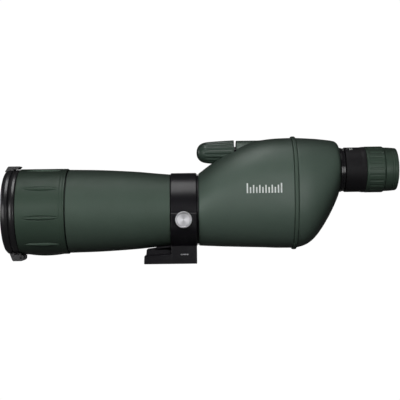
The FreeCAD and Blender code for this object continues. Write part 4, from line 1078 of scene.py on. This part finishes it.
def eyecup():
    """Cup with two fine grooves and a rim turned in over the lens."""
    # the eyecup's darker rubber is painted shade towards the eyepiece end
    lathe("eyecup_moulding",
          [(EYECUP_X0 - 0.15, 17.62, 0.1), (EYECUP_X0 - 0.15, 19.85, 0.06), (184.4, 19.75, 0.3),
           (187.2, 19.58, 0.2), (187.6, 19.22, 0.2), (188.0, 19.5, 0.2), (189.1, 19.42, 0.2),
           (189.5, 19.08, 0.2), (189.9, 19.3, 0.2), (191.5, 19.2, 0.5), (192.3, 18.8, 0.5),
           (EYECUP_X1 + 0.1, 18.0, 0.5), (EYECUP_X1 + 0.1, 13.2, 0.6),
           (EYECUP_X1 - 0.2, 12.4, 0.4), (EYECUP_X1 - 0.8, 12.3, 0.3), (191.2, 13.0, 0.3),
           (190.95, 14.6, 0.2), (190.95, 17.62)],
          EYE_Z, DARK_RUBBER_AND_EYEPIECE_SHADE, "eyecup", "eyecup_rubber", segments=176, sharp=45)


def wrapped_text(name, text, x, theta, size):
    """Text laid round the zoom ring, its top towards the eyepiece."""
    curve = bpy.data.curves.new(name + "_c", "FONT")
    curve.body = text
    curve.size = 1.0
    curve.align_x = "CENTER"
    curve.align_y = "CENTER"
    curve.resolution_u = 3
    flat = bpy.data.objects.new(name + "_t", curve)
    scene.collection.objects.link(flat)
    bpy.context.view_layer.update()
    depsgraph = bpy.context.evaluated_depsgraph_get()
    mesh = bpy.data.meshes.new_from_object(flat.evaluated_get(depsgraph))
    bpy.data.objects.remove(flat)
    bm = bmesh.new()
    bm.from_mesh(mesh)
    long_edges = [edge for edge in bm.edges if edge.calc_length() > 0.25]
    bmesh.ops.subdivide_edges(bm, edges=long_edges, cuts=2)
    bmesh.ops.triangulate(bm, faces=bm.faces)
    raised = bmesh.ops.extrude_face_region(bm, geom=bm.faces[:])["geom"]
    for item in raised:
        if isinstance(item, bmesh.types.BMVert):
            item.co.z += 1.0
    bm.verts.index_update()
    verts = []
    for vert in bm.verts:
        angle = theta - vert.co.x * size / ZOOM_RADIUS
        radius = ZOOM_RADIUS - 0.06 + (0.11 if vert.co.z > 0.5 else 0.0)
        verts.append((x + vert.co.y * size, radius * math.sin(angle),
                      EYE_Z + radius * math.cos(angle)))
    faces = [[vert.index for vert in face.verts] for face in bm.faces]
    bm.free()
    bpy.data.meshes.remove(mesh)
    add_mesh(name, verts, faces, WHITE_PRINT, "zoom_ring", sharp=30, weighted=False)


def ring_mark(name, body, x0, x1, radius, theta, half_width):
    """Printed line along X on a ring about the eyepiece axis."""
    rows = 4
    verts = []
    for level in (radius + 0.05, radius - 0.15):
        for x in (x0, x1):
            for j in range(rows + 1):
                angle = theta + (-half_width + 2 * half_width * j / rows) / radius
                verts.append((x, level * math.sin(angle), EYE_Z + level * math.cos(angle)))
    add_mesh(name, verts, sheet_faces(1, rows), WHITE_PRINT, body, sharp=30, weighted=False)


def zoom_marks():
    angles = [math.radians(NUMBER_PITCH * k + INDEX_DEGREES) for k in range(len(ZOOM_NUMBERS))]
    for number, theta in zip(ZOOM_NUMBERS, angles):
        wrapped_text("zoom_mark_" + number, number, x=150.9, theta=theta, size=4.2)
    ring_mark("zoom_index", "scope_body", EYE_BASE_X0 + 2.9, EYE_BASE_X1 - 0.9, EYE_BASE_WAIST,
              theta=math.radians(INDEX_DEGREES), half_width=0.45)
    for k, theta in enumerate(angles):
        ring_mark("zoom_line_%d" % (k + 1), "zoom_ring", 146.5, 148.0, ZOOM_RADIUS,
                  theta=theta, half_width=0.25)


# ---------------------------------------------------------------------------
# stage: floor, world, lights and camera, in metres
# ---------------------------------------------------------------------------
WHITE = (1, 1, 1, 1)
BACKDROP_STRENGTH = 1.02                # what the camera sees of floor and world
STAGE_CENTRE = Vector((0.02, 0.0, 0.055))


def floor_material():
    """White to the camera, dark grey to every other ray."""
    grey = 0.10
    material = bpy.data.materials.new("pale_floor")
    nodes = Nodes(material)
    place = nodes.add("TexCoord").outputs["Object"]
    patches = nodes.noise(place, scale=3.0, detail=2.0, rough=0.5)
    colour = nodes.grey_ramp(patches, [(0.3, grey * 0.97), (0.7, grey * 1.03)])
    lighting = nodes.add("BsdfDiffuse", {"Color": colour})
    seen = nodes.add("Emission", {"Color": WHITE, "Strength": BACKDROP_STRENGTH})
    nodes.camera_split("OutputMaterial", lighting.outputs[0], seen.outputs[0])
    return material


def add_floor():
    half = 6.0
    mesh = bpy.data.meshes.new("floor")
    mesh.from_pydata([(-half, -half, 0), (half, -half, 0), (half, half, 0), (-half, half, 0)],
                     [], [(0, 1, 2, 3)])
    floor = bpy.data.objects.new("floor", mesh)
    floor.location = (0, 0, -0.16)
    scene.collection.objects.link(floor)
    mesh.materials.append(floor_material())


def add_world():
    """White to the camera; to other rays dim, and brighter overhead."""
    world = bpy.data.worlds.new("studio")
    scene.world = world
    nodes = Nodes(world)
    direction = nodes.add("TexCoord").outputs["Generated"]
    height = nodes.add("SeparateXYZ", {0: direction}).outputs[2]
    sky = nodes.grey_ramp(nodes.remap(height, source=(-1, 1)),
                          [(0.0, 0.012), (0.5, 0.02), (1.0, 0.05)])
    lighting = nodes.add("Background", {"Color": sky, "Strength": 1.0})
    seen = nodes.add("Background", {"Color": WHITE, "Strength": BACKDROP_STRENGTH})
    nodes.camera_split("OutputWorld", lighting.outputs[0], seen.outputs[0])


def soft_light(name, elevation, x0, x1, height, distance, power, diffuse=True, glossy=True):
    """Long soft light from x0 to x1 facing the scope's axis.

    elevation is in degrees above the level on the -Y side; beyond 90 either way it is at +Y.
    """
    light = bpy.data.lights.new(name, "AREA")
    light.shape = "RECTANGLE"
    light.size, light.size_y = x1 - x0, height
    light.energy = power
    angle = math.radians(elevation)
    obj = bpy.data.objects.new(name, light)
    place = Vector(((x0 + x1) / 2, STAGE_CENTRE.y - distance * math.cos(angle),
                    STAGE_CENTRE.z + distance * math.sin(angle)))
    away = (place - Vector((place.x, STAGE_CENTRE.y, STAGE_CENTRE.z))).normalized()
    along = Vector((1, 0, 0))
    turn = Matrix((along, away.cross(along), away)).transposed().to_4x4()
    obj.matrix_world = Matrix.Translation(place) @ turn
    obj.visible_diffuse = diffuse
    obj.visible_glossy = glossy
    scene.collection.objects.link(obj)


def end_light(name, place, size, power, glossy=True):
    """Round light beyond one end of the scope, aimed at its middle."""
    light = bpy.data.lights.new(name, "AREA")
    light.shape = "DISK"
    light.size = size
    light.energy = power
    obj = bpy.data.objects.new(name, light)
    obj.location = place
    aim = STAGE_CENTRE - Vector(place)
    obj.rotation_euler = aim.to_track_quat("-Z", "Y").to_euler()
    obj.visible_glossy = glossy
    scene.collection.objects.link(obj)


def add_lights():
    # shape the matt surfaces
    soft_light("key_soft", elevation=15, x0=-0.75, x1=0.30, height=0.35, distance=1.1,
               power=8.2, glossy=False)
    soft_light("top_fill", elevation=66, x0=-0.6, x1=0.6, height=0.4, distance=1.1,
               power=2.2, glossy=False)
    soft_light("fill_low", elevation=-62, x0=-0.4, x1=0.9, height=0.3, distance=1.1,
               power=0.7, glossy=False)
    # seen only as reflections
    soft_light("top_box", elevation=75, x0=-0.30, x1=0.10, height=0.76, distance=1.0,
               power=3.4, diffuse=False)
    soft_light("front_left", elevation=-6, x0=-0.80, x1=-0.44, height=0.80, distance=0.95,
               power=3.3, diffuse=False)
    soft_light("front_right", elevation=-4, x0=0.22, x1=0.44, height=0.60, distance=0.95,
               power=2.1, diffuse=False)
    soft_light("floor_glow", elevation=-132, x0=-0.75, x1=-0.25, height=0.45, distance=0.9,
               power=0.8, diffuse=False)
    # light the +Y side, for when the scope is turned round
    soft_light("back_key", elevation=170, x0=-0.7, x1=0.7, height=0.5, distance=1.1,
               power=9.0, glossy=False)
    soft_light("back_low", elevation=205, x0=-0.6, x1=0.6, height=0.3, distance=1.1,
               power=1.2, glossy=False)
    end_light("end_right", place=(1.25, -0.10, -0.45), size=0.5, power=4.8, glossy=False)
    end_light("end_left", place=(-1.35, 0.25, 0.25), size=0.6, power=2.4)


def add_camera():
    """Level, looking along +Y, rolled so that the scope's axis rises slightly to the right."""
    data = bpy.data.cameras.new("cam")
    camera = bpy.data.objects.new("cam", data)
    scene.collection.objects.link(camera)
    data.sensor_width = 36.0            # millimetres, as is the lens
    data.lens = 83.7
    data.shift_x = 0.0125               # share of the picture's width
    data.clip_start, data.clip_end = 0.01, 50.0
    roll = math.radians(0.74)
    camera.matrix_world = (Matrix.Translation(Vector((0.01012, -0.8463, 0.05699)))
                           @ Matrix.Rotation(roll, 4, "Y") @ Matrix.Rotation(PI / 2, 4, "X"))
    scene.camera = camera


def set_view():
    view = scene.view_settings
    view.view_transform = "Standard"
    view.look = "None"
    view.exposure = 0.0
    view.gamma = 1.0


# ---------------------------------------------------------------------------
# build
# ---------------------------------------------------------------------------
for build in (dress_frame, cover_lid, lid_ears, cover_ring, sunshade_sleeve, barrel_armour,
              collar_rings, lock_boss, foot_block, foot_toe, foot_dashes, lock_knob,
              front_housing, rear_housing, seam_bead, body_ticks, focus_knob, eyepiece_rings,
              zoom_grip, eyecup, zoom_marks, add_floor, add_world, add_lights, add_camera,
              set_view):
    build()
